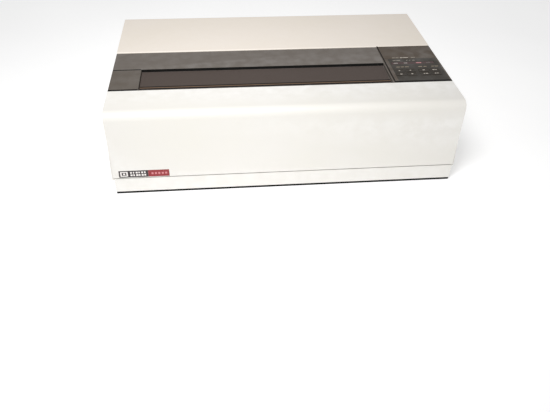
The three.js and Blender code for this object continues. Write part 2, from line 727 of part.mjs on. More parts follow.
function hoodRibOutline() {
  const inner = WALL / 2;
  return outline([
    [inner, top - HOOD_RADIUS - 2 * RIB_DEPTH],
    [inner + RIB_DEPTH, top - HOOD_RADIUS],
    [inner + RIB_DEPTH, top - inner],
    [HOOD_RADIUS, top - inner],
    [HOOD_RADIUS - WALL, top - HOOD_RADIUS / 3],
    [inner, top - HOOD_RADIUS],
  ]);
}

function frontCover() {
  const ears = [-1, 1].map((side) => {
    const outside = halfWidth - PASS;
    const ends = [side * outside, side * (outside - HOOD_EAR_THICKNESS)].sort((a, b) => a - b);
    const low = HOOD_PIN_HEIGHT - HOOD_EAR_RADIUS;
    const high = HOOD_PIN_HEIGHT + HOOD_EAR_RADIUS;
    return cut(
      join(
        block(...ends, WALL - 1, HOOD_PIN_BACK, low, high),
        rodX(HOOD_EAR_RADIUS, ...ends, HOOD_PIN_BACK, HOOD_PIN_HEIGHT, 20),
      ),
      rodX(HOOD_PIN_RADIUS + RUN, ends[0] - 1, ends[1] + 1, HOOD_PIN_BACK, HOOD_PIN_HEIGHT, 20),
    );
  });
  return join(
    alongX(hoodOutline(), -halfWidth, halfWidth),
    alongX(hoodSkirtOutline(), -halfWidth, -halfWidth + WALL),
    alongX(hoodSkirtOutline(), halfWidth - WALL, halfWidth),
    ...RIB_PLACES.map((x) => alongX(hoodRibOutline(), x - RIB_THICKNESS / 2, x + RIB_THICKNESS / 2)),
    ...ears,
  );
}

const badgeLeft = -halfWidth + BADGE_INSET;
const badgeBottom = HOOD_BOTTOM + 1;

function badgeBlock(margin, front, backFace) {
  return block(
    badgeLeft - margin,
    badgeLeft + BADGE_WIDTH + margin,
    front,
    backFace,
    badgeBottom - margin,
    badgeBottom + BADGE_HEIGHT + margin,
  );
}

const BADGE_PROUD = 0.4; // the badge stands this far into a shallow recess
piece("front_cover", cut(frontCover(), badgeBlock(FIT, -1, BADGE_PROUD + BADGE_THICKNESS + FIT)), CREAM());
piece("badge_plate", badgeBlock(0, BADGE_PROUD, BADGE_PROUD + BADGE_THICKNESS), BADGE());

// -------------------------------------------------------------------- dark trim and lid
function topTrim() {
  const plateBottom = trimTop - WALL;
  const lipBottom = trimTop - TRIM_LIP;
  const sillFront = bandStart + TRIM_WALL;
  const ledgeBottom = ledgeTop - LEDGE_THICKNESS;
  const wallLeft = lidLeft - TRIM_WALL;
  const rod = rodX(LID_ROD_RADIUS + FIT, wallLeft - 1, panelLeft, LID_ROD_BACK, lidRodHeight, 16);
  return cut(
    join(
      block(-halfWidth, lidLeft, bandStart, BAND_END, plateBottom, trimTop),
      block(lidLeft - 1, panelLeft, SLOT_BACK, BAND_END, plateBottom, trimTop),
      block(-halfWidth, -halfWidth + WALL, bandStart, BAND_END, sideSeamTop, trimTop),
      block(-halfWidth, lidLeft, bandStart, sillFront, lipBottom, trimTop),
      block(wallLeft, lidLeft, bandStart, SLOT_BACK + TRIM_WALL, lipBottom, trimTop),
      block(lidRight, panelLeft, bandStart, SLOT_BACK + TRIM_WALL, lipBottom, trimTop),
      block(wallLeft, panelLeft, bandStart, bandStart + SILL_DEPTH, lipBottom, lipBottom + TRIM_WALL),
      block(lidLeft - 1, lidRight + 1, SLOT_BACK, SLOT_BACK + TRIM_WALL, trimTop - SLOT_LIP, trimTop),
      block(-halfWidth + WALL - 1, panelLeft, BAND_END - TRIM_WALL, BAND_END, ledgeBottom, trimTop),
      block(
        -halfWidth + WALL - 1,
        panelLeft,
        BAND_END - TRIM_WALL,
        BAND_END + LEDGE_WIDTH,
        ledgeBottom,
        ledgeTop,
      ),
    ),
    rod,
    block(-halfWidth - 1, -halfWidth + WALL, BAND_END, BAND_END + LEDGE_WIDTH + 1, ledgeBottom - 1, top),
    block(-halfWidth - 1, wallLeft, SLOT_BACK - GROOVE, SLOT_BACK, trimTop - GROOVE, top),
  );
}

function lidHinge(x) {
  return join(
    rodX(LID_KNUCKLE_RADIUS, x, x + LID_KNUCKLE_WIDTH, LID_ROD_BACK, lidRodHeight, 12),
    block(x, x + LID_KNUCKLE_WIDTH, LID_ROD_BACK, LID_START + 1, lidTop - LID_THICKNESS, lidTop),
  );
}

function paperLid() {
  const left = lidLeft + LID_SIDE_GAP;
  const right = lidRight - LID_SIDE_GAP;
  const run = right - left - LID_KNUCKLE_WIDTH - 2 * LID_KNUCKLE_INSET;
  const spread = run / (LID_KNUCKLES - 1);
  const hinges = [];
  for (let i = 0; i < LID_KNUCKLES; i++) hinges.push(lidHinge(left + LID_KNUCKLE_INSET + i * spread));
  return cut(
    join(block(left, right, LID_START, SLOT_FRONT, lidTop - LID_THICKNESS, lidTop), ...hinges),
    rodX(LID_ROD_RADIUS + RUN, left - 1, right + 1, LID_ROD_BACK, lidRodHeight, 12),
  );
}

piece("top_trim", topTrim(), DARK_TRIM());
const rodLeft = lidLeft - TRIM_WALL + FIT;
const rodRight = panelLeft - FIT;
piece("lid_hinge_rod", rodX(LID_ROD_RADIUS, rodLeft, rodRight, LID_ROD_BACK, lidRodHeight, 16), BRASS());
piece("paper_lid", paperLid(), SMOKED());

// ------------------------------------------------------------------------ control panel
const panelEdge = panelLeft + FIT;
const panelUnder = panelTop - WALL;
const keyPlaces = [];
for (let row = 0; row < 2; row++) {
  for (let column = 0; column < KEY_COLUMNS; column++) {
    const pair = Math.floor(column / 2);
    const x = panelEdge + KEY_FIELD_INSET + pair * KEY_PAIR_PITCH + (column % 2) * KEY_PITCH_X;
    keyPlaces.push([x, KEY_FIELD_BACK + row * KEY_PITCH_Y]);
  }
}

function around([x, atBack], width, depth, z0, z1) {
  return block(x - width / 2, x + width / 2, atBack - depth / 2, atBack + depth / 2, z0, z1);
}

const lensMiddle = [(panelEdge + halfWidth) / 2, LENS_BACK];
const lensWidth = halfWidth - panelEdge - 2 * LENS_INSET;

function controlPanel() {
  const lipBottom = trimTop - TRIM_LIP;
  const ledgeBottom = ledgeTop - LEDGE_THICKNESS;
  const holes = keyPlaces.map((place) =>
    around(place, KEY_WIDTH + 2 * KEY_GAP, KEY_DEPTH + 2 * KEY_GAP, panelUnder - 1, panelTop + 1),
  );
  return cut(
    join(
      block(panelEdge, halfWidth, bandStart, BAND_END, panelUnder, panelTop),
      block(halfWidth - WALL, halfWidth, bandStart, BAND_END, sideSeamTop, panelTop),
      block(panelEdge, halfWidth, bandStart, bandStart + TRIM_WALL, lipBottom, panelTop),
      block(panelEdge, panelEdge + TRIM_WALL, bandStart, BAND_END, lipBottom, panelTop),
      block(panelEdge, halfWidth - WALL + 1, BAND_END - TRIM_WALL, BAND_END, ledgeBottom, panelTop),
      block(panelEdge, halfWidth - WALL, BAND_END - TRIM_WALL, BAND_END + LEDGE_WIDTH, ledgeBottom, ledgeTop),
    ),
    ...holes,
    around(lensMiddle, lensWidth, LENS_DEPTH, panelTop - LENS_THICKNESS, panelTop + 1),
    block(
      panelEdge - 1,
      halfWidth - WALL,
      PANEL_SPLIT - GROOVE / 2,
      PANEL_SPLIT + GROOVE / 2,
      panelTop - GROOVE,
      panelTop + 1,
    ),
  );
}

piece("control_panel", controlPanel(), PANEL_BLACK());
piece(
  "indicator_lens",
  around(lensMiddle, lensWidth - 2 * FIT, LENS_DEPTH - 2 * FIT, panelTop - LENS_THICKNESS + FIT, panelTop),
  LENS_RED(),
);

const keypadTop = top - KEYPAD_DROP;

function key(place) {
  const flangeTop = panelUnder - FIT;
  const flangeBottom = flangeTop - KEY_FLANGE_THICKNESS;
  const stemBottom = keypadTop + KEY_TRAVEL + FIT;
  const flangeWidth = KEY_WIDTH + 2 * KEY_GAP + KEY_FLANGE;
  const flangeDepth = KEY_DEPTH + 2 * KEY_GAP + KEY_FLANGE;
  return join(
    around(place, KEY_WIDTH, KEY_DEPTH, flangeBottom, panelTop + KEY_RISE),
    around(place, flangeWidth, flangeDepth, flangeBottom, flangeTop),
    rodZ(KEY_STEM_RADIUS, ...place, stemBottom, flangeTop, 12),
  );
}

keyPlaces.forEach((place, i) => piece(`key_${i + 1}`, key(place), KEY_GREY()));
const keypadMargin = 12;
const lastKey = keyPlaces[keyPlaces.length - 1];
piece(
  "keypad_board",
  block(
    keyPlaces[0][0] - keypadMargin,
    lastKey[0] + keypadMargin,
    KEY_FIELD_BACK - keypadMargin,
    LENS_BACK + keypadMargin,
    keypadTop - BOARD_THICKNESS,
    keypadTop,
  ),
  BOARD_GREEN(),
);

// --------------------------------------------------------------------------- rear cover
function rearCoverOutline() {
  const shape = new THREE.Shape();
  const start = rearCoverStart;
  const inner = REAR_RADIUS - WALL;
  const corner = CASE_DEPTH - REAR_RADIUS;
  shape.moveTo(start, top - REAR_COVER_LIP);
  shape.lineTo(start + WALL, top - REAR_COVER_LIP);
  shape.lineTo(start + WALL, top - WALL);
  shape.lineTo(corner, top - WALL);
  shape.absarc(corner, top - REAR_RADIUS, inner, Math.PI / 2, 0, true);
  shape.lineTo(CASE_DEPTH - WALL, rearSkirtBottom);
  shape.lineTo(CASE_DEPTH, rearSkirtBottom);
  shape.lineTo(CASE_DEPTH, top - REAR_RADIUS);
  shape.absarc(corner, top - REAR_RADIUS, REAR_RADIUS, 0, Math.PI / 2, false);
  shape.lineTo(start + REAR_LIP_RADIUS, top);
  shape.absarc(start + REAR_LIP_RADIUS, top - REAR_LIP_RADIUS, REAR_LIP_RADIUS, Math.PI / 2, Math.PI, false);
  shape.closePath();
  return shape;
}

function rearSkirtOutline() {
  const shape = new THREE.Shape();
  const corner = CASE_DEPTH - REAR_RADIUS;
  shape.moveTo(rearCoverStart, sideSeamTop);
  shape.lineTo(CASE_DEPTH - 2 * WALL, sideSeamTop);
  shape.lineTo(CASE_DEPTH - WALL, rearSkirtBottom);
  shape.lineTo(CASE_DEPTH, rearSkirtBottom);
  shape.lineTo(CASE_DEPTH, top - REAR_RADIUS);
  shape.absarc(corner, top - REAR_RADIUS, REAR_RADIUS, 0, Math.PI / 2, false);
  shape.lineTo(rearCoverStart + REAR_LIP_RADIUS, top);
  shape.lineTo(rearCoverStart, top - REAR_LIP_RADIUS);
  shape.closePath();
  return shape;
}

function coverKnuckles(x) {
  const knuckleFace = rearPinBack + REAR_KNUCKLE_RADIUS / 2;
  const inner = REAR_KNUCKLE_WIDTH / 2 + FIT;
  const outer = inner + REAR_KNUCKLE_WIDTH - 3;
  const sides = [[x - outer, x - inner], [x + inner, x + outer]];
  return sides.map(([x0, x1]) =>
    cut(
      join(
        rodX(REAR_KNUCKLE_RADIUS, x0, x1, rearPinBack, rearPinHeight, 12),
        block(x0, x1, CASE_DEPTH - WALL, knuckleFace, rearPinHeight, rearSkirtBottom + 1),
      ),
      rodX(REAR_PIN_RADIUS + RUN, x0 - 1, x1 + 1, rearPinBack, rearPinHeight, 12),
    ),
  );
}

piece(
  "rear_cover",
  join(
    alongX(rearCoverOutline(), -halfWidth, halfWidth),
    alongX(rearSkirtOutline(), -halfWidth, -halfWidth + WALL),
    alongX(rearSkirtOutline(), halfWidth - WALL, halfWidth),
    ...rearHinges.flatMap(coverKnuckles),
  ),
  CREAM(),
);

// ------------------------------------------------------- tray, side frames and rails
const postX = idlerPulleyX;
const pulleyBottom = beltBottom - BELT_CLEARANCE - PULLEY_FLANGE_THICKNESS;
const pulleyTop = beltTop + BELT_CLEARANCE + PULLEY_FLANGE_THICKNESS;

const flangeTop = TRAY_HEIGHT + TRAY_FLANGE;
piece(
  "mechanism_tray",
  join(
    block(trayLeft, trayRight, TRAY_START, trayEnd, TRAY_HEIGHT, trayTop),
    block(trayLeft, trayRight, TRAY_START, TRAY_START + TRAY_THICKNESS, TRAY_HEIGHT, flangeTop),
    block(trayLeft, trayRight, trayEnd - TRAY_THICKNESS, trayEnd, TRAY_HEIGHT, flangeTop),
    rodZ(POST_RADIUS + 3, postX, BELT_BACK, trayTop - 1, pulleyBottom - FIT, 16),
    rodZ(POST_RADIUS, postX, BELT_BACK, trayTop - 1, pulleyTop, 16),
  ),
  ZINC(),
);

function sideFrameOutline() {
  const frameEnd = TRACTOR_RAIL_BACK + TRACTOR_RAIL_BOSS + 1;
  const crown = tractorHeight + TRACTOR_CHEEK_RADIUS + 3;
  return outline([
    [TRAY_START + 6, frameBottom],
    [TRACTOR_BACK + TRACTOR_CHEEK_RADIUS, frameBottom],
    [TRACTOR_BACK + TRACTOR_CHEEK_RADIUS, railHeight],
    [frameEnd, tractorRailHeight - TRACTOR_RAIL_BOSS - 6],
    [frameEnd, crown],
    [platenBack + platenRadius, crown],
    [bailPivotBack, platenHeight + BAIL_ROD_RISE],
    [FRONT_RAIL_BACK, railHeight + 4 * FRONT_RAIL_RADIUS],
    [TRAY_START + 6, railHeight + FRONT_RAIL_RADIUS],
  ]);
}

function sideFrame(x0, x1) {
  const bore = (radius, atBack, z) => rodX(radius, x0 - 1, x1 + 1, atBack, z, 16);
  return cut(
    alongX(sideFrameOutline(), x0, x1),
    bore(FRONT_RAIL_RADIUS + FIT, FRONT_RAIL_BACK, railHeight),
    bore(REAR_RAIL_RADIUS + FIT, REAR_RAIL_BACK, railHeight),
    bore(PLATEN_SHAFT_RADIUS + RUN, platenBack, platenHeight),
    bore(TRACTOR_JOURNAL_RADIUS + RUN, TRACTOR_BACK, tractorHeight),
    bore(TRACTOR_RAIL_RADIUS + FIT, TRACTOR_RAIL_BACK, tractorRailHeight),
  );
}

const frameOuterLeft = frameLeft - FRAME_THICKNESS;
const frameOuterRight = frameRight + FRAME_THICKNESS;
const bailPinReach = BAIL_ARM_GAP + BAIL_ARM_THICKNESS + 1;
const feedMotorStart = gearEnd + 3;
const idlerStubEnd = gearEnd + 1;

function feedMotorSpacers() {
  return [-1, 1].map((side) =>
    rodX(
      SPACER_RADIUS,
      frameOuterRight - 1,
      feedMotorStart - FIT,
      pinionBack + side * SPACER_SPREAD,
      pinionHeight - SPACER_DROP,
      12,
    ),
  );
}

piece(
  "side_frame_left",
  join(
    sideFrame(frameOuterLeft, frameLeft),
    rodX(BAIL_PIN_RADIUS, frameLeft - 1, frameLeft + bailPinReach, bailPivotBack, platenHeight, 16),
  ),
  ZINC(),
);
piece(
  "side_frame_right",
  join(
    sideFrame(frameRight, frameOuterRight),
    rodX(BAIL_PIN_RADIUS, frameRight - bailPinReach, frameRight + 1, bailPivotBack, platenHeight, 16),
    rodX(POST_RADIUS, frameOuterRight - 1, idlerStubEnd, idlerBack, idlerHeight, 16),
    ...feedMotorSpacers(),
  ),
  ZINC(),
);

const railEnd = 2; // how far a rail shows outside each side frame
const railLeft = frameOuterLeft - railEnd;
const railRight = frameOuterRight + railEnd - GEAR_CLEARANCE / 2;
piece("front_rail", rodX(FRONT_RAIL_RADIUS, railLeft, railRight, FRONT_RAIL_BACK, railHeight), STEEL());
piece("rear_rail", rodX(REAR_RAIL_RADIUS, railLeft, railRight, REAR_RAIL_BACK, railHeight), STEEL());
piece(
  "tractor_rail",
  rodX(TRACTOR_RAIL_RADIUS, railLeft, railRight, TRACTOR_RAIL_BACK, tractorRailHeight),
  STEEL(),
);

// ------------------------------------------------- carriage, print head and ribbon
function carriage() {
  const left = carriageHome - CARRIAGE_WIDTH / 2;
  const right = carriageHome + CARRIAGE_WIDTH / 2;
  const cheekTop = cartridgeBottom - FIT;
  const saddleTop = platenHeight - HEAD_RADIUS / 3;
  const clampFront = frontStrand - BELT_THICKNESS / 2 - BELT_CLEARANCE - CLAMP_WALL;
  const clampBack = frontStrand + BELT_THICKNESS / 2 + BELT_CLEARANCE + CLAMP_WALL;
  const clampBottom = beltBottom - BELT_CLEARANCE - CLAMP_WALL;
  const clampLeft = carriageHome - CLAMP_WIDTH / 2;
  const clampRight = carriageHome + CLAMP_WIDTH / 2;
  return cut(
    join(
      block(left, right, CARRIAGE_FRONT, CARRIAGE_BACK, carriageBottom, carriageTop),
      block(left, left + CHEEK_THICKNESS, CHEEK_FRONT, CHEEK_BACK, carriageTop - 1, cheekTop),
      block(right - CHEEK_THICKNESS, right, CHEEK_FRONT, CHEEK_BACK, carriageTop - 1, cheekTop),
      block(left, right, HEAD_FRONT + 3, HEAD_BACK - 3, carriageTop - 1, saddleTop),
      block(clampLeft, clampRight, clampFront, clampBack, clampBottom, carriageBottom + 1),
    ),
    rodX(FRONT_RAIL_RADIUS + RUN, left - 1, right + 1, FRONT_RAIL_BACK, railHeight),
    rodX(REAR_RAIL_RADIUS + RUN, left - 1, right + 1, REAR_RAIL_BACK, railHeight),
    rodY(HEAD_RADIUS + FIT, carriageHome, HEAD_FRONT - 5, HEAD_BACK + 5, platenHeight, 32),
    block(
      clampLeft - 1,
      clampRight + 1,
      frontStrand - BELT_THICKNESS / 2 - BELT_CLEARANCE,
      frontStrand + BELT_THICKNESS / 2 + BELT_CLEARANCE,
      beltBottom - BELT_CLEARANCE,
      beltTop + BELT_CLEARANCE,
    ),
  );
}

// A finned barrel with a tapered nose, turned about the line of the pins.
function printHead() {
  const finPitch = (HEAD_BACK - HEAD_FRONT) / (2 * HEAD_FINS - 1);
  const points = [[0, HEAD_FRONT]];
  for (let i = 0; i < HEAD_FINS; i++) {
    const start = HEAD_FRONT + 2 * i * finPitch;
    if (i > 0) points.push([HEAD_CORE_RADIUS, start]);
    points.push([HEAD_RADIUS, start], [HEAD_RADIUS, start + finPitch]);
    if (i < HEAD_FINS - 1) points.push([HEAD_CORE_RADIUS, start + finPitch]);
  }
  points.push([NOSE_ROOT_RADIUS, HEAD_BACK]);
  points.push([NOSE_TIP_RADIUS, PAPER_PLANE - NOSE_GAP]);
  points.push([0, PAPER_PLANE - NOSE_GAP]);
  const profile = points.map(([radius, atBack]) => new THREE.Vector2(radius, back(atBack)));
  const geometry = new THREE.LatheGeometry(profile, 20);
  geometry.translate(carriageHome, 0, platenHeight);
  return solid(geometry);
}

function ribbonCartridge() {
  const left = carriageHome - CARTRIDGE_WIDTH / 2;
  const right = carriageHome + CARTRIDGE_WIDTH / 2;
  const ribbonBack = PAPER_PLANE - RIBBON_GAP;
  const ribbonFront = ribbonBack - RIBBON_THICKNESS;
  const armBottom = platenHeight - RIBBON_ARM_DROP;
  const arm = (x0, x1) =>
    join(
      block(x0, x1, CARTRIDGE_BACK - RIBBON_ARM_ROOT, CARTRIDGE_BACK, armBottom, cartridgeTop - 2),
      block(x0, x1, CARTRIDGE_BACK - 1, ribbonBack, armBottom, platenHeight + RIBBON_HEIGHT),
    );
  return cut(
    join(
      block(left, right, CARTRIDGE_FRONT, CARTRIDGE_BACK, cartridgeBottom, cartridgeTop),
      arm(left, left + RIBBON_ARM_WIDTH),
      arm(right - RIBBON_ARM_WIDTH, right),
      block(
        left + 1,
        right - 1,
        ribbonFront,
        ribbonBack,
        platenHeight - RIBBON_HEIGHT / 2,
        platenHeight + RIBBON_HEIGHT / 2,
      ),
    ),
    rodZ(
      KNOB_STEM_RADIUS + RUN,
      carriageHome + KNOB_OFFSET,
      KNOB_BACK,
      cartridgeTop - KNOB_WELL,
      cartridgeTop + 1,
      16,
    ),
  );
}

function ribbonKnob() {
  const x = carriageHome + KNOB_OFFSET;
  const low = cartridgeTop + FIT;
  return join(
    rodZ(KNOB_RADIUS, x, KNOB_BACK, low, low + KNOB_HEIGHT / 2),
    around([x, KNOB_BACK], 2 * KNOB_RADIUS - 2, KNOB_GRIP, low, low + KNOB_HEIGHT),
    rodZ(KNOB_STEM_RADIUS, x, KNOB_BACK, cartridgeTop - KNOB_WELL + 1, low + 1, 16),
  );
}

piece("carriage", carriage(), BLACK_PLASTIC());
piece("print_head", printHead(), CAST());
piece("ribbon_cartridge", ribbonCartridge(), BLACK_PLASTIC());
piece("ribbon_knob", ribbonKnob(), NATURAL_PLASTIC());

// ------------------------------------------------------- carriage drive: motor, belt
function pulley(x, boreRadius) {
  const flange = PULLEY_RADIUS + PULLEY_FLANGE;
  return cut(
    join(
      rodZ(PULLEY_RADIUS - FIT, x, BELT_BACK, pulleyBottom, pulleyTop),
      rodZ(flange, x, BELT_BACK, pulleyBottom, pulleyBottom + PULLEY_FLANGE_THICKNESS),
      rodZ(flange, x, BELT_BACK, pulleyTop - PULLEY_FLANGE_THICKNESS, pulleyTop),
    ),
    rodZ(boreRadius, x, BELT_BACK, pulleyBottom - 1, pulleyTop + 1, 16),
  );
}

// A racetrack round the two pulleys, drawn in plan.
function racetrack(radius, shape = new THREE.Shape()) {
  shape.absarc(idlerPulleyX, BELT_BACK, radius, Math.PI / 2, (3 * Math.PI) / 2, false);
  shape.absarc(drivePulleyX, BELT_BACK, radius, -Math.PI / 2, Math.PI / 2, false);
  shape.closePath();
  return shape;
}

function belt() {
  const shape = racetrack(PULLEY_RADIUS + BELT_THICKNESS);
  shape.holes.push(racetrack(PULLEY_RADIUS, new THREE.Path()));
  return alongZ(shape, beltBottom, beltTop, 12);
}

const carriageMotorTop = trayTop + FIT + CARRIAGE_MOTOR_HEIGHT;
piece(
  "carriage_motor",
  join(
    rodZ(MOTOR_RADIUS, drivePulleyX - 1, BELT_BACK, trayTop + FIT, carriageMotorTop, 24),
    rodZ(MOTOR_SHAFT_RADIUS, drivePulleyX, BELT_BACK, carriageMotorTop - 1, pulleyTop, 16),
  ),
  CAST(),
);
piece("drive_pulley", pulley(drivePulleyX, MOTOR_SHAFT_RADIUS + RUN), NATURAL_PLASTIC());
piece("idler_pulley", pulley(idlerPulleyX, POST_RADIUS + RUN), NATURAL_PLASTIC());
piece("carriage_belt", belt(), RUBBER());

// ------------------------------------------------------------ platen and its gear train
const platenLeft = frameLeft + PLATEN_END_GAP;
const platenRight = frameRight - PLATEN_END_GAP;
const shaftLeft = frameOuterLeft - 4;
piece(
  "platen_shaft",
  rodX(PLATEN_SHAFT_RADIUS, shaftLeft, gearEnd + 2, platenBack, platenHeight),
  STEEL(),
);
piece(
  "platen_roller",
  cut(
    rodX(platenRadius, platenLeft, platenRight, platenBack, platenHeight, 36),
    rodX(PLATEN_SHAFT_RADIUS + FIT, platenLeft - 1, platenRight + 1, platenBack, platenHeight),
  ),
  RUBBER(),
);
piece(
  "platen_gear",
  gear(PLATEN_TEETH, PLATEN_SHAFT_RADIUS + FIT, gearStart, gearEnd, platenBack, platenHeight, platenTooth),
  NATURAL_PLASTIC(),
);
piece(
  "feed_motor",
  join(
    rodX(MOTOR_RADIUS, feedMotorStart, feedMotorStart + FEED_MOTOR_LENGTH, pinionBack, pinionHeight, 24),
    rodX(MOTOR_SHAFT_RADIUS, gearStart, feedMotorStart + 1, pinionBack, pinionHeight, 16),
  ),
  CAST(),
);
piece(
  "feed_pinion",
  gear(PINION_TEETH, MOTOR_SHAFT_RADIUS + RUN, gearStart, gearEnd, pinionBack, pinionHeight, pinionTooth),
  BRASS(),
);
piece(
  "feed_idler_gear",
  gear(IDLER_TEETH, POST_RADIUS + RUN, gearStart, gearEnd, idlerBack, idlerHeight, idlerTooth),
  NATURAL_PLASTIC(),
);

// ------------------------------------------------------------------------- paper bail
const bailArmInnerLeft = frameLeft + BAIL_ARM_GAP;
const bailArmInnerRight = frameRight - BAIL_ARM_GAP;

function paperBail() {
  const shape = link(
    [bailPivotBack, platenHeight],
    BAIL_ARM_RADIUS + 1,
    [bailRodBack, bailRodHeight],
    BAIL_ARM_RADIUS,
  );
  return cut(
    join(
      alongX(shape, bailArmInnerLeft, bailArmInnerLeft + BAIL_ARM_THICKNESS),
      alongX(shape, bailArmInnerRight - BAIL_ARM_THICKNESS, bailArmInnerRight),
      rodX(BAIL_ROD_RADIUS, bailArmInnerLeft + 1, bailArmInnerRight - 1, bailRodBack, bailRodHeight, 16),
    ),
    rodX(BAIL_PIN_RADIUS + RUN, frameLeft, frameRight, bailPivotBack, platenHeight, 20),
  );
}

piece("paper_bail", paperBail(), STEEL());
BAIL_ROLLER_PLACES.forEach((place, i) => {
  const x0 = frameMiddle + place - BAIL_ROLLER_LENGTH / 2;
  const x1 = x0 + BAIL_ROLLER_LENGTH;
  piece(
    `bail_roller_${i + 1}`,
    cut(
      rodX(bailRollerRadius, x0, x1, bailRodBack, bailRodHeight, 20),
      rodX(BAIL_ROD_RADIUS + RUN, x0 - 1, x1 + 1, bailRodBack, bailRodHeight, 20),
    ),
    RUBBER(),
  );
});

// --------------------------------------------------------------- tractors and shaft
const halfSquare = TRACTOR_SHAFT_SIDE / 2;
const tractorLeftOuter = frameLeft + TRACTOR_INSET;
const tractorRightOuter = frameRight - TRACTOR_INSET;

function squareBar(x0, x1, grow) {
  const half = halfSquare + grow;
  const middle = TRACTOR_BACK;
  return block(x0, x1, middle - half, middle + half, tractorHeight - half, tractorHeight + half);
}

piece(
  "tractor_shaft",
  join(
    squareBar(frameLeft + 1, frameRight - 1, 0),
    rodX(TRACTOR_JOURNAL_RADIUS, frameOuterLeft - 2, frameLeft + 2, TRACTOR_BACK, tractorHeight, 20),
    rodX(TRACTOR_JOURNAL_RADIUS, frameRight - 2, gearEnd + 2, TRACTOR_BACK, tractorHeight, 20),
  ),
  STEEL(),
);
const tractorBore = TRACTOR_JOURNAL_RADIUS + FIT;
piece(
  "tractor_gear",
  gear(TRACTOR_TEETH, tractorBore, gearStart, gearEnd, TRACTOR_BACK, tractorHeight, tractorTooth),
  NATURAL_PLASTIC(),
);

const wheelRim = wheelRadius - WHEEL_RIM_DROP;
const doorPinHeight = tractorHeight + wheelRadius + DOOR_RISE;

// x grows from a tractor's outer face towards the middle of the paper, whichever side it stands on.
function span(outer, inward, from, to) {
  return [outer + inward * from, outer + inward * to].sort((a, b) => a - b);
}

function tractorBody(outer, inward) {
  const cheek = link(
    [TRACTOR_BACK, tractorHeight],
    TRACTOR_CHEEK_RADIUS,
    [TRACTOR_RAIL_BACK, tractorRailHeight],
    TRACTOR_RAIL_BOSS,
  );
  const shelfTop = tractorHeight + wheelRim;
  const shelfBottom = shelfTop - TRACTOR_SHELF_THICKNESS;
  const cheekSpan = span(outer, inward, 0, TRACTOR_CHEEK);
  const bossSpan = span(outer, inward, 0, TRACTOR_SHELF_WIDTH);
  const wheelSpan = span(outer, inward, TRACTOR_CHEEK, TRACTOR_CHEEK + WHEEL_WIDTH + 2);
  const shelfStart = DOOR_START - DOOR_LUG - 1;
  const shelfEnd = DOOR_END + DOOR_LUG + 1;
  const lugTop = doorPinHeight + DOOR_KNUCKLE_RADIUS;
  const doorPinX = outer + (inward * TRACTOR_CHEEK) / 2;
  const boreSpan = span(outer, inward, -1, TRACTOR_SHELF_WIDTH + 1);
  return cut(
    join(
      alongX(cheek, ...cheekSpan),
      block(...cheekSpan, shelfStart, shelfEnd, tractorHeight, shelfTop),
      block(...bossSpan, shelfStart, shelfEnd, shelfBottom, shelfTop),
      rodX(TRACTOR_RAIL_BOSS - 1, ...bossSpan, TRACTOR_RAIL_BACK, tractorRailHeight),
      block(...cheekSpan, shelfStart, shelfStart + DOOR_LUG, shelfTop - 1, lugTop),
      block(...cheekSpan, shelfEnd - DOOR_LUG, shelfEnd, shelfTop - 1, lugTop),
      rodY(DOOR_PIN_RADIUS, doorPinX, shelfStart + 1, shelfEnd - 1, doorPinHeight, 12),
    ),
    rodX(halfSquare * Math.SQRT2 + PASS, ...boreSpan, TRACTOR_BACK, tractorHeight),
    rodX(TRACTOR_RAIL_RADIUS + RUN, ...boreSpan, TRACTOR_RAIL_BACK, tractorRailHeight),
    rodX(wheelRadius + WHEEL_PIN_LENGTH + 1, ...wheelSpan, TRACTOR_BACK, tractorHeight, 24),
  );
}

// Each pin stands out of the rim of a wheel that the square shaft drives.
function pinWheel(outer, inward) {
  const ends = span(outer, inward, TRACTOR_CHEEK + 1, TRACTOR_CHEEK + 1 + WHEEL_WIDTH);
  const middle = (ends[0] + ends[1]) / 2;
  let wheel = rodX(wheelRim, ...ends, TRACTOR_BACK, tractorHeight, 24);
  for (let i = 0; i < WHEEL_PINS; i++) {
    const pinEnd = wheelRadius + WHEEL_PIN_LENGTH;
    const pinRoot = wheelRim - 2;
    const pin = new THREE.CylinderGeometry(WHEEL_PIN_TIP_RADIUS, WHEEL_PIN_RADIUS, pinEnd - pinRoot, 6);
    pin.translate(0, (pinEnd + pinRoot) / 2, 0);
    pin.rotateX((i * 2 * Math.PI) / WHEEL_PINS);
    pin.translate(middle, back(TRACTOR_BACK), tractorHeight);
    wheel = wheel.add(solid(pin));
  }
  return cut(wheel, squareBar(ends[0] - 1, ends[1] + 1, RUN));
}

function tractorDoor(outer, inward) {
  const pinX = outer + (inward * TRACTOR_CHEEK) / 2;
  const leafEnds = [pinX, pinX + inward * DOOR_WIDTH].sort((a, b) => a - b);
  const leafBottom = doorPinHeight - DOOR_THICKNESS / 2;
  const start = DOOR_START + FIT;
  const end = DOOR_END - FIT;
  return cut(
    join(
      rodY(DOOR_KNUCKLE_RADIUS, pinX, start, end, doorPinHeight, 16),
      block(...leafEnds, start, end, leafBottom, leafBottom + DOOR_THICKNESS),
    ),
    rodY(DOOR_PIN_RADIUS + RUN, pinX, start - 1, end + 1, doorPinHeight, 16),
  );
}

for (const [side, outer, inward] of [["left", tractorLeftOuter, 1], ["right", tractorRightOuter, -1]]) {
  piece(`tractor_${side}`, tractorBody(outer, inward), BLACK_PLASTIC());
  piece(`pin_wheel_${side}`, pinWheel(outer, inward), NATURAL_PLASTIC());
  piece(`tractor_door_${side}`, tractorDoor(outer, inward), BLACK_PLASTIC());
}

// --------------------------------------------------------------- boards and mains
const boardTop = BOARD_HEIGHT + BOARD_THICKNESS;

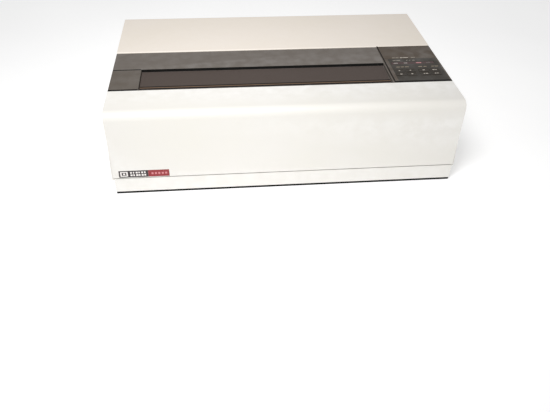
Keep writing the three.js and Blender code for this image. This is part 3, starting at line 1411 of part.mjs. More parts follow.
function mainBoard() {
  const low = boardTop - SEAT;
  const chipFront = boardStart + CHIP_FRONT;
  const chips = [];
  for (let i = 0; i < CHIPS; i++) {
    const x = boardLeft + CHIP_START + i * CHIP_PITCH;
    chips.push(block(x, x + CHIP_LENGTH, chipFront, chipFront + CHIP_DEPTH, low, boardTop + CHIP_HEIGHT));
  }
  const sinkLeft = boardRight - SINK_FROM_RIGHT;
  const sinkRight = sinkLeft + SINK_LENGTH;
  const sinkFront = boardStart + SINK_FRONT;
  const sinkEnd = sinkFront + (SINK_FINS - 1) * SINK_PITCH + SINK_FIN;
  const sink = [block(sinkLeft, sinkRight, sinkFront, sinkEnd, low, boardTop + SINK_BASE)];
  for (let i = 0; i < SINK_FINS; i++) {
    const finFront = sinkFront + i * SINK_PITCH;
    sink.push(block(sinkLeft, sinkRight, finFront, finFront + SINK_FIN, low, boardTop + SINK_HEIGHT));
  }
  return join(
    block(boardLeft, boardRight, boardStart, boardEnd, BOARD_HEIGHT, boardTop),
    ...chips,
    ...sink,
  );
}

function interfaceConnector() {
  const low = connectorHeight - CONNECTOR_HEIGHT / 2;
  const end = CASE_DEPTH - WALL - FIT;
  const nose = CASE_DEPTH - 1;
  return cut(
    join(
      block(
        connectorX - CONNECTOR_WIDTH / 2,
        connectorX + CONNECTOR_WIDTH / 2,
        end - CONNECTOR_DEPTH,
        end,
        low,
        low + CONNECTOR_HEIGHT,
      ),
      block(
        connectorX - CONNECTOR_NOSE_WIDTH / 2,
        connectorX + CONNECTOR_NOSE_WIDTH / 2,
        end - 1,
        nose,
        connectorHeight - CONNECTOR_NOSE_HEIGHT / 2,
        connectorHeight + CONNECTOR_NOSE_HEIGHT / 2,
      ),
    ),
    block(
      connectorX - CONNECTOR_SLOT_WIDTH / 2,
      connectorX + CONNECTOR_SLOT_WIDTH / 2,
      nose - CONNECTOR_SLOT_DEPTH,
      nose + 1,
      connectorHeight - CONNECTOR_SLOT_HEIGHT / 2,
      connectorHeight + CONNECTOR_SLOT_HEIGHT / 2,
    ),
  );
}

const inletFace = CASE_DEPTH - 0.5;
const rockerX = inletX - ROCKER_OFFSET;
const rockerPivotBack = inletFace - ROCKER_DEPTH / 2;

function mainsInlet() {
  const socketX = inletX + SOCKET_OFFSET;
  const wellWidth = ROCKER_WIDTH + 2 * ROCKER_GAP;
  const wellHeight = ROCKER_HEIGHT + 2 * ROCKER_GAP;
  return join(
    cut(
      block(
        inletX - INLET_WIDTH / 2,
        inletX + INLET_WIDTH / 2,
        inletFace - INLET_DEPTH,
        inletFace,
        INLET_MIDDLE_HEIGHT - INLET_HEIGHT / 2,
        INLET_MIDDLE_HEIGHT + INLET_HEIGHT / 2,
      ),
      block(
        socketX - SOCKET_WIDTH / 2,
        socketX + SOCKET_WIDTH / 2,
        inletFace - SOCKET_DEPTH,
        inletFace + 1,
        INLET_MIDDLE_HEIGHT - SOCKET_HEIGHT / 2,
        INLET_MIDDLE_HEIGHT + SOCKET_HEIGHT / 2,
      ),
      block(
        rockerX - wellWidth / 2,
        rockerX + wellWidth / 2,
        inletFace - ROCKER_DEPTH - 4,
        inletFace + 1,
        INLET_MIDDLE_HEIGHT - wellHeight / 2,
        INLET_MIDDLE_HEIGHT + wellHeight / 2,
      ),
    ),
    rodX(
      ROCKER_PIN_RADIUS,
      rockerX - wellWidth / 2 - 1,
      rockerX + wellWidth / 2 + 1,
      rockerPivotBack,
      INLET_MIDDLE_HEIGHT,
      12,
    ),
  );
}

// The rocker stands with its lower half pressed in, as it does when the printer is off.
function powerRocker() {
  const half = ROCKER_HEIGHT / 2;
  const deep = ROCKER_DEPTH / 2;
  const face = deep - ROCKER_FACE_DROP;
  const shape = outline([
    [-deep, -half + ROCKER_HEEL],
    [0, -half],
    [face, -half],
    [face - ROCKER_DISH, 0],
    [face, half],
    [0, half],
    [-deep, half - ROCKER_HEEL],
  ]);
  const geometry = new THREE.ExtrudeGeometry(shape, { depth: ROCKER_WIDTH, bevelEnabled: false });
  geometry.applyMatrix4(new THREE.Matrix4().set(0, 0, 1, 0, 1, 0, 0, 0, 0, 1, 0, 0, 0, 0, 0, 1));
  geometry.translate(-ROCKER_WIDTH / 2, 0, 0);
  geometry.rotateX(THREE.MathUtils.degToRad(-ROCKER_TILT));
  geometry.translate(rockerX, back(rockerPivotBack), INLET_MIDDLE_HEIGHT);
  const boreRadius = ROCKER_PIN_RADIUS + RUN;
  const boreLeft = rockerX - ROCKER_WIDTH;
  const boreRight = rockerX + ROCKER_WIDTH;
  const bore = rodX(boreRadius, boreLeft, boreRight, rockerPivotBack, INLET_MIDDLE_HEIGHT, 16);
  return cut(solid(geometry), bore);
}

function transformer() {
  const x = halfWidth - TRANSFORMER_FROM_RIGHT;
  const end = CASE_DEPTH - TRANSFORMER_REAR_GAP;
  const start = end - TRANSFORMER_DEPTH;
  const low = floorTop + FIT;
  const half = TRANSFORMER_WIDTH / 2;
  return join(
    block(x - half, x + half, start, end, low, low + TRANSFORMER_HEIGHT),
    block(
      x - half + COIL_INSET,
      x + half - COIL_INSET,
      start - COIL_OVERHANG,
      end + COIL_OVERHANG,
      low + COIL_INSET,
      low + TRANSFORMER_HEIGHT - COIL_INSET,
    ),
  );
}

piece("main_board", mainBoard(), BOARD_GREEN());
piece("interface_connector", interfaceConnector(), BLACK_PLASTIC());
piece("mains_inlet", mainsInlet(), BLACK_PLASTIC());
piece("power_rocker", powerRocker(), BLACK_PLASTIC());
piece("power_transformer", transformer(), VARNISH());

export default printer;
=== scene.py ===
"""Wide-carriage office printer: its covers, trim, panel and mechanism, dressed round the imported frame."""

import json
import logging
import math
from dataclasses import dataclass
from enum import Enum
from typing import Callable, Iterable, Sequence

import bmesh
import bpy
from bmesh.types import BMEdge, BMFace
from mathutils import Matrix, Vector


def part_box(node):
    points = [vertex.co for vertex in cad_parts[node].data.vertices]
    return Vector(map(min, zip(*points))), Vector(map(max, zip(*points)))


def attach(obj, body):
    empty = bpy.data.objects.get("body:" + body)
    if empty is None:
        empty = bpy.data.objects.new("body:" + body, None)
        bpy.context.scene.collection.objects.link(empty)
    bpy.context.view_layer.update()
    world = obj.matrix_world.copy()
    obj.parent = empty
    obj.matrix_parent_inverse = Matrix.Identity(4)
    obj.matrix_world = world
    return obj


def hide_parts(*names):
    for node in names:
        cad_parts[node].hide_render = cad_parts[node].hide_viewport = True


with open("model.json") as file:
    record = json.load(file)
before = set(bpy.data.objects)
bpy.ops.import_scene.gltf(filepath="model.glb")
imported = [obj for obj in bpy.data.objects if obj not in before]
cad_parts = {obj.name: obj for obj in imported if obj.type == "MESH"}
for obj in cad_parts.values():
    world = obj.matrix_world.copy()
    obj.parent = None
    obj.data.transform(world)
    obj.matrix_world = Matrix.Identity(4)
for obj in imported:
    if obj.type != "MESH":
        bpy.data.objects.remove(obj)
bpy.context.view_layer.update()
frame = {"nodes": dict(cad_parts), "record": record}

log = logging.getLogger("printer")

MM = 0.001
FRONT = -210.0  # the covers' front face, in the frame's depth
REAR = 210.0  # the covers' rear face
TRIM_TOP = 168.5
PANEL_TOP = 169.2
KEY_WIDTH = 19.0
KEY_DEPTH = 10.0
KEY_MARKS = ((4.2,), (3.4,), (2.6, 4.2), (2.4, 2.6), (2.6,), (2.4,), (4.4,), (4.0, 2.2))
SLOT_OF = {part["node"]: part["material_slot"] for part in frame["record"]["subparts"]}
BODY_OF = {
    node: body
    for body, members in frame["record"]["behaviour"]["bodies"].items()
    for node in members
}
# the body that a piece moves with, and a slot of the record that goes with it
BADGE_RIDE = ("front_cover", "badge")
TRIM_RIDE = ("chassis", "dark_trim")
PANEL_RIDE = ("chassis", "panel_dark")
LENS_RIDE = ("chassis", "lens")

Colour = tuple[float, float, float]
Place = tuple[float, float, float]


class Axis(Enum):
    """A direction of the printer's frame."""

    X = (1.0, 0.0, 0.0)
    Y = (0.0, 1.0, 0.0)
    Z = (0.0, 0.0, 1.0)

    @property
    def vector(self) -> Vector:
        """The direction as a vector."""
        return Vector(self.value)

    @property
    def turn(self) -> Matrix:
        """The turn that stands a shape made along Z along this axis."""
        return Vector((0, 0, 1)).rotation_difference(self.vector).to_matrix().to_4x4()


def back(distance: float) -> float:
    """The frame's depth of a point this far behind the front face."""
    return FRONT + distance


def metres(point: Place) -> Vector:
    """A point in millimetres as a vector in metres."""
    return Vector(point) * MM


@dataclass(frozen=True)
class Extent:
    """The box that something fills, in millimetres."""

    left: float
    right: float
    front: float
    rear: float
    bottom: float
    top: float

    @classmethod
    def of(cls, node: str) -> "Extent":
        """The box of a node of the frame.

        Args:
            node: the node's name.

        Returns:
            Its box at rest.
        """
        low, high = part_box(node)
        return cls(
            low.x / MM, high.x / MM, low.y / MM, high.y / MM, low.z / MM, high.z / MM
        )

    @property
    def middle(self) -> Place:
        """The box's centre."""
        return (
            (self.left + self.right) / 2,
            (self.front + self.rear) / 2,
            (self.bottom + self.top) / 2,
        )


# ------------------------------------------------------------------------------ finishes
class NodeSheet:
    """A material's node tree, laid out by short calls."""

    def __init__(self, name: str) -> None:
        """Starts a material with its shader wired to the output.

        Args:
            name: the material's name.
        """
        self.material = bpy.data.materials.new(name)
        self.material.use_nodes = True
        self.tree = self.material.node_tree
        self.shader = self.tree.nodes["Principled BSDF"]
        self.place = self.add("ShaderNodeTexCoord").outputs["Object"]

    def add(self, kind: str, **settings: object) -> bpy.types.Node:
        """A new node.

        Args:
            kind: the node's type.
            settings: its properties.

        Returns:
            The node.
        """
        node = self.tree.nodes.new(kind)
        for key, value in settings.items():
            setattr(node, key, value)
        return node

    def link(self, source: bpy.types.NodeSocket, target: bpy.types.NodeSocket) -> None:
        """Wires one socket to another."""
        self.tree.links.new(source, target)

    def stretched(self, scale: Place) -> bpy.types.NodeSocket:
        """Object coordinates stretched along the axes.

        Args:
            scale: how many times finer the pattern is along each axis.

        Returns:
            The coordinates.
        """
        mapping = self.add("ShaderNodeMapping")
        mapping.inputs["Scale"].default_value = scale
        self.link(self.place, mapping.inputs["Vector"])
        return mapping.outputs["Vector"]

    def noise(
        self,
        scale: float,
        detail: float = 2.0,
        roughness: float = 0.5,
        place: bpy.types.NodeSocket | None = None,
    ) -> bpy.types.NodeSocket:
        """A noise value.

        Args:
            scale: features per metre, roughly.
            detail: octaves.
            roughness: how strong the finer octaves are.
            place: coordinates, or None for the object's own.

        Returns:
            The noise's value.
        """
        node = self.add("ShaderNodeTexNoise")
        node.inputs["Scale"].default_value = scale
        node.inputs["Detail"].default_value = detail
        node.inputs["Roughness"].default_value = roughness
        self.link(place or self.place, node.inputs["Vector"])
        return node.outputs["Fac"]

    def spread(
        self, value: bpy.types.NodeSocket, low: float, high: float, to: tuple[float, float]
    ) -> bpy.types.NodeSocket:
        """A value mapped from low..high to another range, and held inside it.

        Args:
            value: the value.
            low: the value that gives the first end.
            high: the value that gives the second end.
            to: the two ends.

        Returns:
            The mapped value.
        """
        node = self.add("ShaderNodeMapRange")
        node.inputs["From Min"].default_value = low
        node.inputs["From Max"].default_value = high
        node.inputs["To Min"].default_value = to[0]
        node.inputs["To Max"].default_value = to[1]
        self.link(value, node.inputs["Value"])
        return node.outputs["Result"]

    def blend(
        self, share: bpy.types.NodeSocket, first: object, second: object
    ) -> bpy.types.NodeSocket:
        """A mix of two colours, each a colour or a socket.

        Args:
            share: how much of the second.
            first: the colour at no share.
            second: the colour at full share.

        Returns:
            The mixed colour.
        """
        node = self.add("ShaderNodeMix", data_type="RGBA")
        self.link(share, node.inputs["Factor"])
        for socket, colour in ((node.inputs[6], first), (node.inputs[7], second)):
            if isinstance(colour, bpy.types.NodeSocket):
                self.link(colour, socket)
            else:
                socket.default_value = (*colour, 1.0)
        return node.outputs[2]

    def bump(
        self,
        height: bpy.types.NodeSocket,
        depth: float,
        strength: float = 1.0,
        under: bpy.types.NodeSocket | None = None,
    ) -> bpy.types.NodeSocket:
        """A normal bent by a height.

        Args:
            height: the height, 0 to 1.
            depth: what 1 stands for, in metres.
            strength: how much of it shows.
            under: a normal that this one is added to.

        Returns:
            The normal.
        """
        node = self.add("ShaderNodeBump")
        node.inputs["Distance"].default_value = depth
        node.inputs["Strength"].default_value = strength
        self.link(height, node.inputs["Height"])
        if under is not None:
            self.link(under, node.inputs["Normal"])
        return node.outputs["Normal"]

    def edges(self, low: float = 0.52, high: float = 0.62) -> bpy.types.NodeSocket:
        """A mask that is 1 along worn outside edges, broken up by noise.

        Args:
            low: the pointiness at which the wear begins.
            high: the pointiness at which it is full.

        Returns:
            The mask.
        """
        pointed = self.add("ShaderNodeNewGeometry").outputs["Pointiness"]
        sharp = self.spread(pointed, low, high, (0.0, 1.0))
        patchy = self.spread(self.noise(55.0, 3.0), 0.35, 0.65, (0.25, 1.0))
        node = self.add("ShaderNodeMath", operation="MULTIPLY")
        self.link(sharp, node.inputs[0])
        self.link(patchy, node.inputs[1])
        return node.outputs["Value"]

    def finish(self, **sockets: object) -> bpy.types.Material:
        """Sets the shader's sockets by name, with numbers or links.

        Args:
            sockets: socket names with _ for a space, and their values.

        Returns:
            The material.
        """
        for key, value in sockets.items():
            socket = self.shader.inputs[key.replace("_", " ")]
            if isinstance(value, bpy.types.NodeSocket):
                self.link(value, socket)
            else:
                socket.default_value = value
        return self.material


@dataclass(frozen=True)
class Finish:
    """A surface finish. A material is made once and shared."""

    name: str

    def paint(self) -> bpy.types.Material:
        """The finish's material, made at its first use."""
        return bpy.data.materials.get(self.name) or self.lay()

    def lay(self) -> bpy.types.Material:
        """Makes the material."""
        raise NotImplementedError


@dataclass(frozen=True)
class Moulding(Finish):
    """Injection-moulded plastic: fine spark texture, faint flow mottling, rubbed edges."""

    colour: Colour = (0.8, 0.8, 0.8)
    shade: float = 0.06  # how much darker the mottling goes
    warmth: float = 0.02
    rough: float = 0.5
    polish: float = 0.02  # how far the roughness strays either way
    grain: float = 1500.0
    grain_depth: float = 0.00005
    wear: float = 0.12
    gloss: float = 0.5
    coat: float = 0.0

    def lay(self) -> bpy.types.Material:
        """Makes the material."""
        sheet = NodeSheet(self.name)
        red, green, blue = self.colour
        dark = (
            red * (1 - self.shade),
            green * (1 - self.shade * 1.05),
            blue * (1 - self.shade * 1.1 - self.warmth),
        )
        light = tuple(min(1.0, c + (1 - c) * self.wear) for c in self.colour)
        cloud = sheet.spread(sheet.noise(7.0, 4.0, 0.55), 0.35, 0.68, (0.0, 1.0))
        body = sheet.blend(cloud, self.colour, dark)
        worn = sheet.blend(sheet.edges(), body, light)
        grain = sheet.noise(self.grain, 3.0, 0.6)
        orange_peel = sheet.bump(sheet.noise(120.0, 2.0), self.grain_depth * 2, 0.25)
        return sheet.finish(
            Base_Color=worn,
            Roughness=sheet.spread(
                sheet.noise(38.0, 4.0, 0.6), 0.3, 0.7, (self.rough - self.polish, self.rough + self.polish)
            ),
            Normal=sheet.bump(grain, self.grain_depth, 0.55, orange_peel),
            Specular_IOR_Level=self.gloss,
            Coat_Weight=self.coat,
            Coat_Roughness=0.12,
        )


@dataclass(frozen=True)
class Metal(Finish):
    """Ground, plated or cast metal: streaks along one axis, tarnish and brighter edges."""

    colour: Colour = (0.6, 0.6, 0.6)
    rough: float = 0.3
    streak: Place = (4.0, 1.0, 1.0)  # how much finer the streaks are along each axis
    streak_scale: float = 300.0
    tarnish: float = 0.25
    depth: float = 0.00003

    def lay(self) -> bpy.types.Material:
        """Makes the material."""
        sheet = NodeSheet(self.name)
        lines = sheet.noise(self.streak_scale, 3.0, 0.6, sheet.stretched(self.streak))
        dull = tuple(c * (1 - self.tarnish) for c in self.colour)
        bright = tuple(min(1.0, c * 1.18) for c in self.colour)
        stained = sheet.blend(
            sheet.spread(sheet.noise(22.0, 5.0, 0.6), 0.42, 0.72, (0.0, 1.0)), self.colour, dull
        )
        return sheet.finish(
            Base_Color=sheet.blend(sheet.edges(0.51, 0.58), stained, bright),
            Metallic=1.0,
            Roughness=sheet.spread(lines, 0.25, 0.75, (self.rough - 0.08, self.rough + 0.12)),
            Normal=sheet.bump(lines, self.depth, 0.4),
        )


@dataclass(frozen=True)
class ZincSheet(Finish):
    """Plated sheet steel with a faint crystal pattern."""

    colour: Colour = (0.62, 0.63, 0.62)

    def lay(self) -> bpy.types.Material:
        """Makes the material."""
        sheet = NodeSheet(self.name)
        crystal = sheet.add("ShaderNodeTexVoronoi")
        crystal.inputs["Scale"].default_value = 160.0
        sheet.link(sheet.place, crystal.inputs["Vector"])
        flake = sheet.spread(crystal.outputs["Color"], 0.0, 1.0, (0.0, 1.0))
        dull = tuple(c * 0.8 for c in self.colour)
        patch = sheet.spread(sheet.noise(14.0, 4.0), 0.4, 0.7, (0.0, 0.5))
        tone = sheet.blend(flake, self.colour, dull)
        return sheet.finish(
            Base_Color=sheet.blend(patch, tone, (0.5, 0.49, 0.46)),
            Metallic=0.9,
            Roughness=sheet.spread(flake, 0.0, 1.0, (0.34, 0.5)),
            Normal=sheet.bump(sheet.noise(700.0, 2.0), 0.00002, 0.4),
        )


@dataclass(frozen=True)
class RubberSkin(Finish):
    """Black rubber with a ground surface and a dusty bloom."""

    colour: Colour = (0.022, 0.021, 0.02)
    bloom: Colour = (0.075, 0.072, 0.068)
    rough: float = 0.72

    def lay(self) -> bpy.types.Material:
        """Makes the material."""
        sheet = NodeSheet(self.name)
        dust = sheet.spread(sheet.noise(60.0, 6.0, 0.65), 0.45, 0.8, (0.0, 0.8))
        return sheet.finish(
            Base_Color=sheet.blend(dust, self.colour, self.bloom),
            Roughness=sheet.spread(dust, 0.0, 1.0, (self.rough, 0.9)),
            Normal=sheet.bump(sheet.noise(2200.0, 2.0, 0.7), 0.00006, 0.5),
            Specular_IOR_Level=0.35,
        )


@dataclass(frozen=True)
class BoardLaminate(Finish):
    """Green circuit board with tracks under the mask."""

    mask: Colour = (0.018, 0.11, 0.05)
    track: Colour = (0.03, 0.2, 0.09)

    def lay(self) -> bpy.types.Material:
        """Makes the material."""
        sheet = NodeSheet(self.name)
        brick = sheet.add("ShaderNodeTexBrick", offset=0.37, squash=1.6, squash_frequency=3)
        brick.inputs["Scale"].default_value = 120.0
        brick.inputs["Mortar Size"].default_value = 0.13
        brick.inputs["Color1"].default_value = (0, 0, 0, 1)
        brick.inputs["Color2"].default_value = (0, 0, 0, 1)
        brick.inputs["Mortar"].default_value = (1, 1, 1, 1)
        sheet.link(sheet.place, brick.inputs["Vector"])
        lines = brick.outputs["Color"]
        tone = sheet.blend(lines, self.mask, self.track)
        fade = sheet.spread(sheet.noise(30.0, 3.0), 0.3, 0.7, (0.0, 0.3))
        return sheet.finish(
            Base_Color=sheet.blend(fade, tone, (0.01, 0.06, 0.03)),
            Roughness=sheet.spread(sheet.noise(90.0, 3.0), 0.3, 0.7, (0.28, 0.42)),
            Normal=sheet.bump(lines, 0.00005, 0.6),
        )


@dataclass(frozen=True)
class Print(Finish):
    """Printed ink or enamel: a flat colour with thin patches and a slight edge."""

    colour: Colour = (0.7, 0.65, 0.6)
    thin: Colour = (0.5, 0.46, 0.42)
    rough: float = 0.45
    glow: float = 0.0

    def lay(self) -> bpy.types.Material:
        """Makes the material."""
        sheet = NodeSheet(self.name)
        worn = sheet.spread(sheet.noise(420.0, 4.0, 0.6), 0.5, 0.75, (0.0, 0.7))
        return sheet.finish(
            Base_Color=sheet.blend(worn, self.colour, self.thin),
            Roughness=sheet.spread(worn, 0.0, 1.0, (self.rough, self.rough + 0.15)),
            Normal=sheet.bump(sheet.noise(1600.0, 2.0), 0.00002, 0.4),
            Emission_Color=(*self.colour, 1.0),
            Emission_Strength=self.glow,
        )


CREAM = Moulding(
    "cream moulding", (0.755, 0.735, 0.698), shade=0.015, rough=0.46, grain_depth=0.00004,
    wear=0.3,
)
# the rear cover's cream: warmer in tone than the hood's, and made lighter as painted light, to make up for
# the dimmer light towards the back
WARM_CREAM = Moulding(
    "warm cream moulding, painted lighter", (0.822, 0.752, 0.676), shade=0.02, rough=0.5,
    grain_depth=0.00004, wear=0.3,
)
BLOCK_TRIM = Moulding(
    "grey-brown trim block", (0.100, 0.083, 0.068), shade=0.03, rough=0.5, grain=1300.0,
    gloss=0.24, wear=0.06,
)
TRIM = Moulding(
    "grey-brown trim", (0.126, 0.108, 0.093), shade=0.03, rough=0.5, grain=1300.0, gloss=0.28,
    wear=0.06,
)
SMOKED = Moulding(
    "smoked lid", (0.066, 0.048, 0.040), shade=0.04, rough=0.36, grain=900.0,
    grain_depth=0.00001, gloss=0.24, coat=0.02, wear=0.1,
)
PANEL = Moulding(
    "panel moulding", (0.070, 0.050, 0.033), shade=0.03, rough=0.46, gloss=0.2, wear=0.07,
)
OVERLAY = Moulding(
    "key field overlay", (0.036, 0.030, 0.023), shade=0.06, rough=0.4, gloss=0.18, wear=0.05,
)
KEYCAP = Moulding("key cap", (0.040, 0.033, 0.026), shade=0.08, rough=0.44, gloss=0.24, wear=0.1)
BLACK_PLASTIC = Moulding("black moulding", (0.022, 0.022, 0.023), shade=0.2, rough=0.48, wear=0.05)
NATURAL = Moulding("natural nylon", (0.74, 0.71, 0.64), shade=0.08, rough=0.42, wear=0.2)
PHENOLIC = Moulding("phenolic resin", (0.05, 0.032, 0.024), shade=0.2, rough=0.34, wear=0.08)
RUBBER = RubberSkin("black rubber")
# near-black that paints shadow: in the gaps by the lid, the slot, the seams, the panel's left end and under
# the case
SHADOW_BLACK = RubberSkin("painted shadow black", (0.004, 0.0035, 0.003), (0.009, 0.008, 0.007), 0.95)
PLATEN_RUBBER = RubberSkin("platen rubber", (0.03, 0.029, 0.028), (0.1, 0.097, 0.093), 0.6)
BELT_RUBBER = RubberSkin("belt rubber", (0.03, 0.03, 0.031), (0.07, 0.07, 0.068), 0.68)
STEEL = Metal("ground steel", (0.66, 0.66, 0.66), 0.24, (1.0, 14.0, 14.0))
BRASS = Metal("brass", (0.72, 0.52, 0.26), 0.28, (1.0, 10.0, 10.0), tarnish=0.35)
CAST = Metal("cast alloy", (0.42, 0.42, 0.42), 0.46, (1.0, 1.0, 1.0), 500.0, 0.2, 0.00012)
CORE = Metal("core steel", (0.2, 0.19, 0.18), 0.5, (1.0, 1.0, 60.0), 200.0, 0.3, 0.0001)
ZINC = ZincSheet("plated sheet")
BOARD = BoardLaminate("circuit board")
INK = Print("pale legend ink", (0.72, 0.66, 0.58), (0.5, 0.45, 0.4))
TAN_INK = Print("tan legend ink", (0.44, 0.36, 0.26), (0.3, 0.24, 0.17))
LINE_INK = Print("brown border line", (0.13, 0.105, 0.09), (0.09, 0.07, 0.06))
DIM_INK = Print("dim legend ink", (0.42, 0.37, 0.31), (0.3, 0.26, 0.22))
TAN = Print("tan edge strip", (0.15, 0.085, 0.045), (0.10, 0.06, 0.035), 0.5)
BADGE_DARK = Print("badge black", (0.022, 0.012, 0.014), (0.04, 0.024, 0.026), 0.3)
BADGE_RED = Print("badge red", (0.27, 0.014, 0.02), (0.2, 0.016, 0.022), 0.3)
BADGE_MARK = Print("badge silver", (0.82, 0.78, 0.76), (0.66, 0.6, 0.58), 0.3)
BADGE_FAINT = Print("badge pink", (0.62, 0.22, 0.24), (0.5, 0.14, 0.16), 0.3)
LENS = Moulding(
    "lens", (0.034, 0.018, 0.017), shade=0.1, rough=0.3, gloss=0.3, coat=0.1,
    grain_depth=0.000004,
)
LAMP_RED = Print("red lamp", (0.56, 0.25, 0.26), (0.42, 0.15, 0.16), 0.25)
LAMP_DIM = Print("dim lamp", (0.12, 0.10, 0.09), (0.08, 0.07, 0.06), 0.25)
LAMP_CLEAR = Print("clear lamp", (0.33, 0.3, 0.28), (0.22, 0.2, 0.19), 0.25)


# --------------------------------------------------------------------------- modelling
Pick = Callable[[BMEdge], bool]


class Stock:
    """A bmesh under work. Lengths are millimetres and depths are the frame's own."""

    def __init__(self) -> None:
        """Starts with nothing."""
        self.bm = bmesh.new()

    # ---- adding material
    def block(self, extent: Extent) -> list[BMFace]:
        """Adds a block.

        Args:
            extent: the box that it fills.

        Returns:
            Its faces.
        """
        size = (
            extent.right - extent.left,
            extent.rear - extent.front,
            extent.top - extent.bottom,
        )
        scale = Matrix.Diagonal((*(s * MM for s in size), 1.0))
        matrix = Matrix.Translation(metres(extent.middle)) @ scale
        made = bmesh.ops.create_cube(self.bm, size=1.0, matrix=matrix)
        return list({f for v in made["verts"] for f in v.link_faces})

    def rod(
        self,
        axis: Axis,
        radius: float,
        start: float,
        end: float,
        centre: Place,
        segments: int = 32,
        end_radius: float | None = None,
    ) -> list[BMFace]:
        """Adds a round rod or a cone.

        Args:
            axis: the way it runs.
            radius: its radius at the start.
            start: where it starts, along the axis.
            end: where it ends.
            centre: a point on its line; the number along the axis is not used.
            segments: sides.
            end_radius: its radius at the end, or None for the same.

        Returns:
            Its faces.
        """
        along = axis.vector
        middle = metres(centre)
        middle -= along * middle.dot(along)
        middle += along * (start + end) / 2 * MM
        made = bmesh.ops.create_cone(
            self.bm,
            cap_ends=True,
            segments=segments,
            radius1=radius * MM,
            radius2=(radius if end_radius is None else end_radius) * MM,
            depth=(end - start) * MM,
            matrix=Matrix.Translation(middle) @ axis.turn,
        )
        return list({f for v in made["verts"] for f in v.link_faces})

    def lathe(
        self, axis: Axis, outline: Sequence[tuple[float, float]], centre: Place, steps: int = 40
    ) -> None:
        """Spins an outline round an axis into a closed body.

        Args:
            axis: the axis.
            outline: (radius, distance along the axis from the centre), from pole to pole.
            centre: a point on the axis.
            steps: sides.
        """
        turn = Matrix.Translation(metres(centre)) @ axis.turn
        verts = [self.bm.verts.new(turn @ Vector((r * MM, 0, h * MM))) for r, h in outline]
        edges = [self.bm.edges.new(pair) for pair in zip(verts, verts[1:])]
        bmesh.ops.spin(
            self.bm,
            geom=[*verts, *edges],
            cent=metres(centre),
            axis=axis.vector,
            angle=math.tau,
            steps=steps,
            use_merge=True,
            use_duplicate=False,
        )
        bmesh.ops.remove_doubles(self.bm, verts=self.bm.verts[:], dist=0.002 * MM)
        bmesh.ops.recalc_face_normals(self.bm, faces=self.bm.faces[:])

    def copy_node(self, node: str) -> None:
        """Adds a merged copy of a node, with its flat regions made whole again.

        Args:
            node: the node's name.
        """
        self.bm.from_mesh(frame["nodes"][node].data)
        bmesh.ops.remove_doubles(self.bm, verts=self.bm.verts[:], dist=0.003 * MM)
        bmesh.ops.dissolve_limit(
            self.bm,
            angle_limit=math.radians(0.6),
            verts=self.bm.verts[:],
            edges=self.bm.edges[:],
            use_dissolve_boundaries=False,
        )

    # ---- shaping
    def split(self, axis: Axis, *places: float) -> None:
        """Cuts every face where it crosses a plane, and keeps both sides.

        Args:
            axis: the planes' normal.
            places: where each plane stands along the axis.
        """
        for at in places:
            bmesh.ops.bisect_plane(
                self.bm,
                geom=[*self.bm.verts, *self.bm.edges, *self.bm.faces],
                dist=0.001 * MM,
                plane_co=axis.vector * at * MM,
                plane_no=axis.vector,
            )

    def drop(self, unwanted: Callable[[Vector, Vector], bool]) -> None:
        """Deletes faces.

        Args:
            unwanted: told a face's normal and its centre in millimetres, says whether it goes.
        """
        faces = [f for f in self.bm.faces if unwanted(f.normal, f.calc_center_median() / MM)]
        bmesh.ops.delete(self.bm, geom=faces, context="FACES")

    def wall(self, thickness: float) -> None:
        """Gives an open skin a wall, grown inwards."""
        bmesh.ops.recalc_face_normals(self.bm, faces=self.bm.faces[:])
        bmesh.ops.solidify(self.bm, geom=self.bm.faces[:], thickness=thickness * MM)
        bmesh.ops.recalc_face_normals(self.bm, faces=self.bm.faces[:])

    def sink(self, chosen: Callable[[Vector, Vector], bool], depth: float) -> None:
        """Sinks a region of faces straight down into a shallow recess.

        Args:
            chosen: told a face's normal and its centre in millimetres, says whether it is in.
            depth: how deep, or a negative number to raise it.
        """
        faces = [f for f in self.bm.faces if chosen(f.normal, f.calc_center_median() / MM)]
        bmesh.ops.inset_region(
            self.bm, faces=faces, thickness=0.02 * MM, depth=-depth * MM, use_even_offset=True
        )

    def round(self, pick: Pick, radius: float, segments: int) -> None:
        """Rounds chosen edges.

        Args:
            pick: says whether an edge is rounded.
            radius: the radius.
            segments: steps round the corner.
        """
        edges = [e for e in self.bm.edges if pick(e)]
        bmesh.ops.bevel(
            self.bm,
            geom=edges,
            offset=radius * MM,
            offset_type="OFFSET",
            segments=segments,
            profile=0.5,
            affect="EDGES",
            clamp_overlap=True,
            material=-1,
        )

    def soften(self, radius: float, segments: int = 2, angle: float = 40.0) -> None:
        """Rounds every sharp edge a little.

        Args:
            radius: the radius.
            segments: steps round the corner.
            angle: an edge that turns less than this many degrees is left.
        """
        limit = math.radians(angle)
        self.round(lambda e: e.is_manifold and e.calc_face_angle(0.0) > limit, radius, segments)

    def close(self) -> None:
        """Merges doubled points and turns every face outwards."""
        bmesh.ops.remove_doubles(self.bm, verts=self.bm.verts[:], dist=0.001 * MM)
        bmesh.ops.recalc_face_normals(self.bm, faces=self.bm.faces[:])

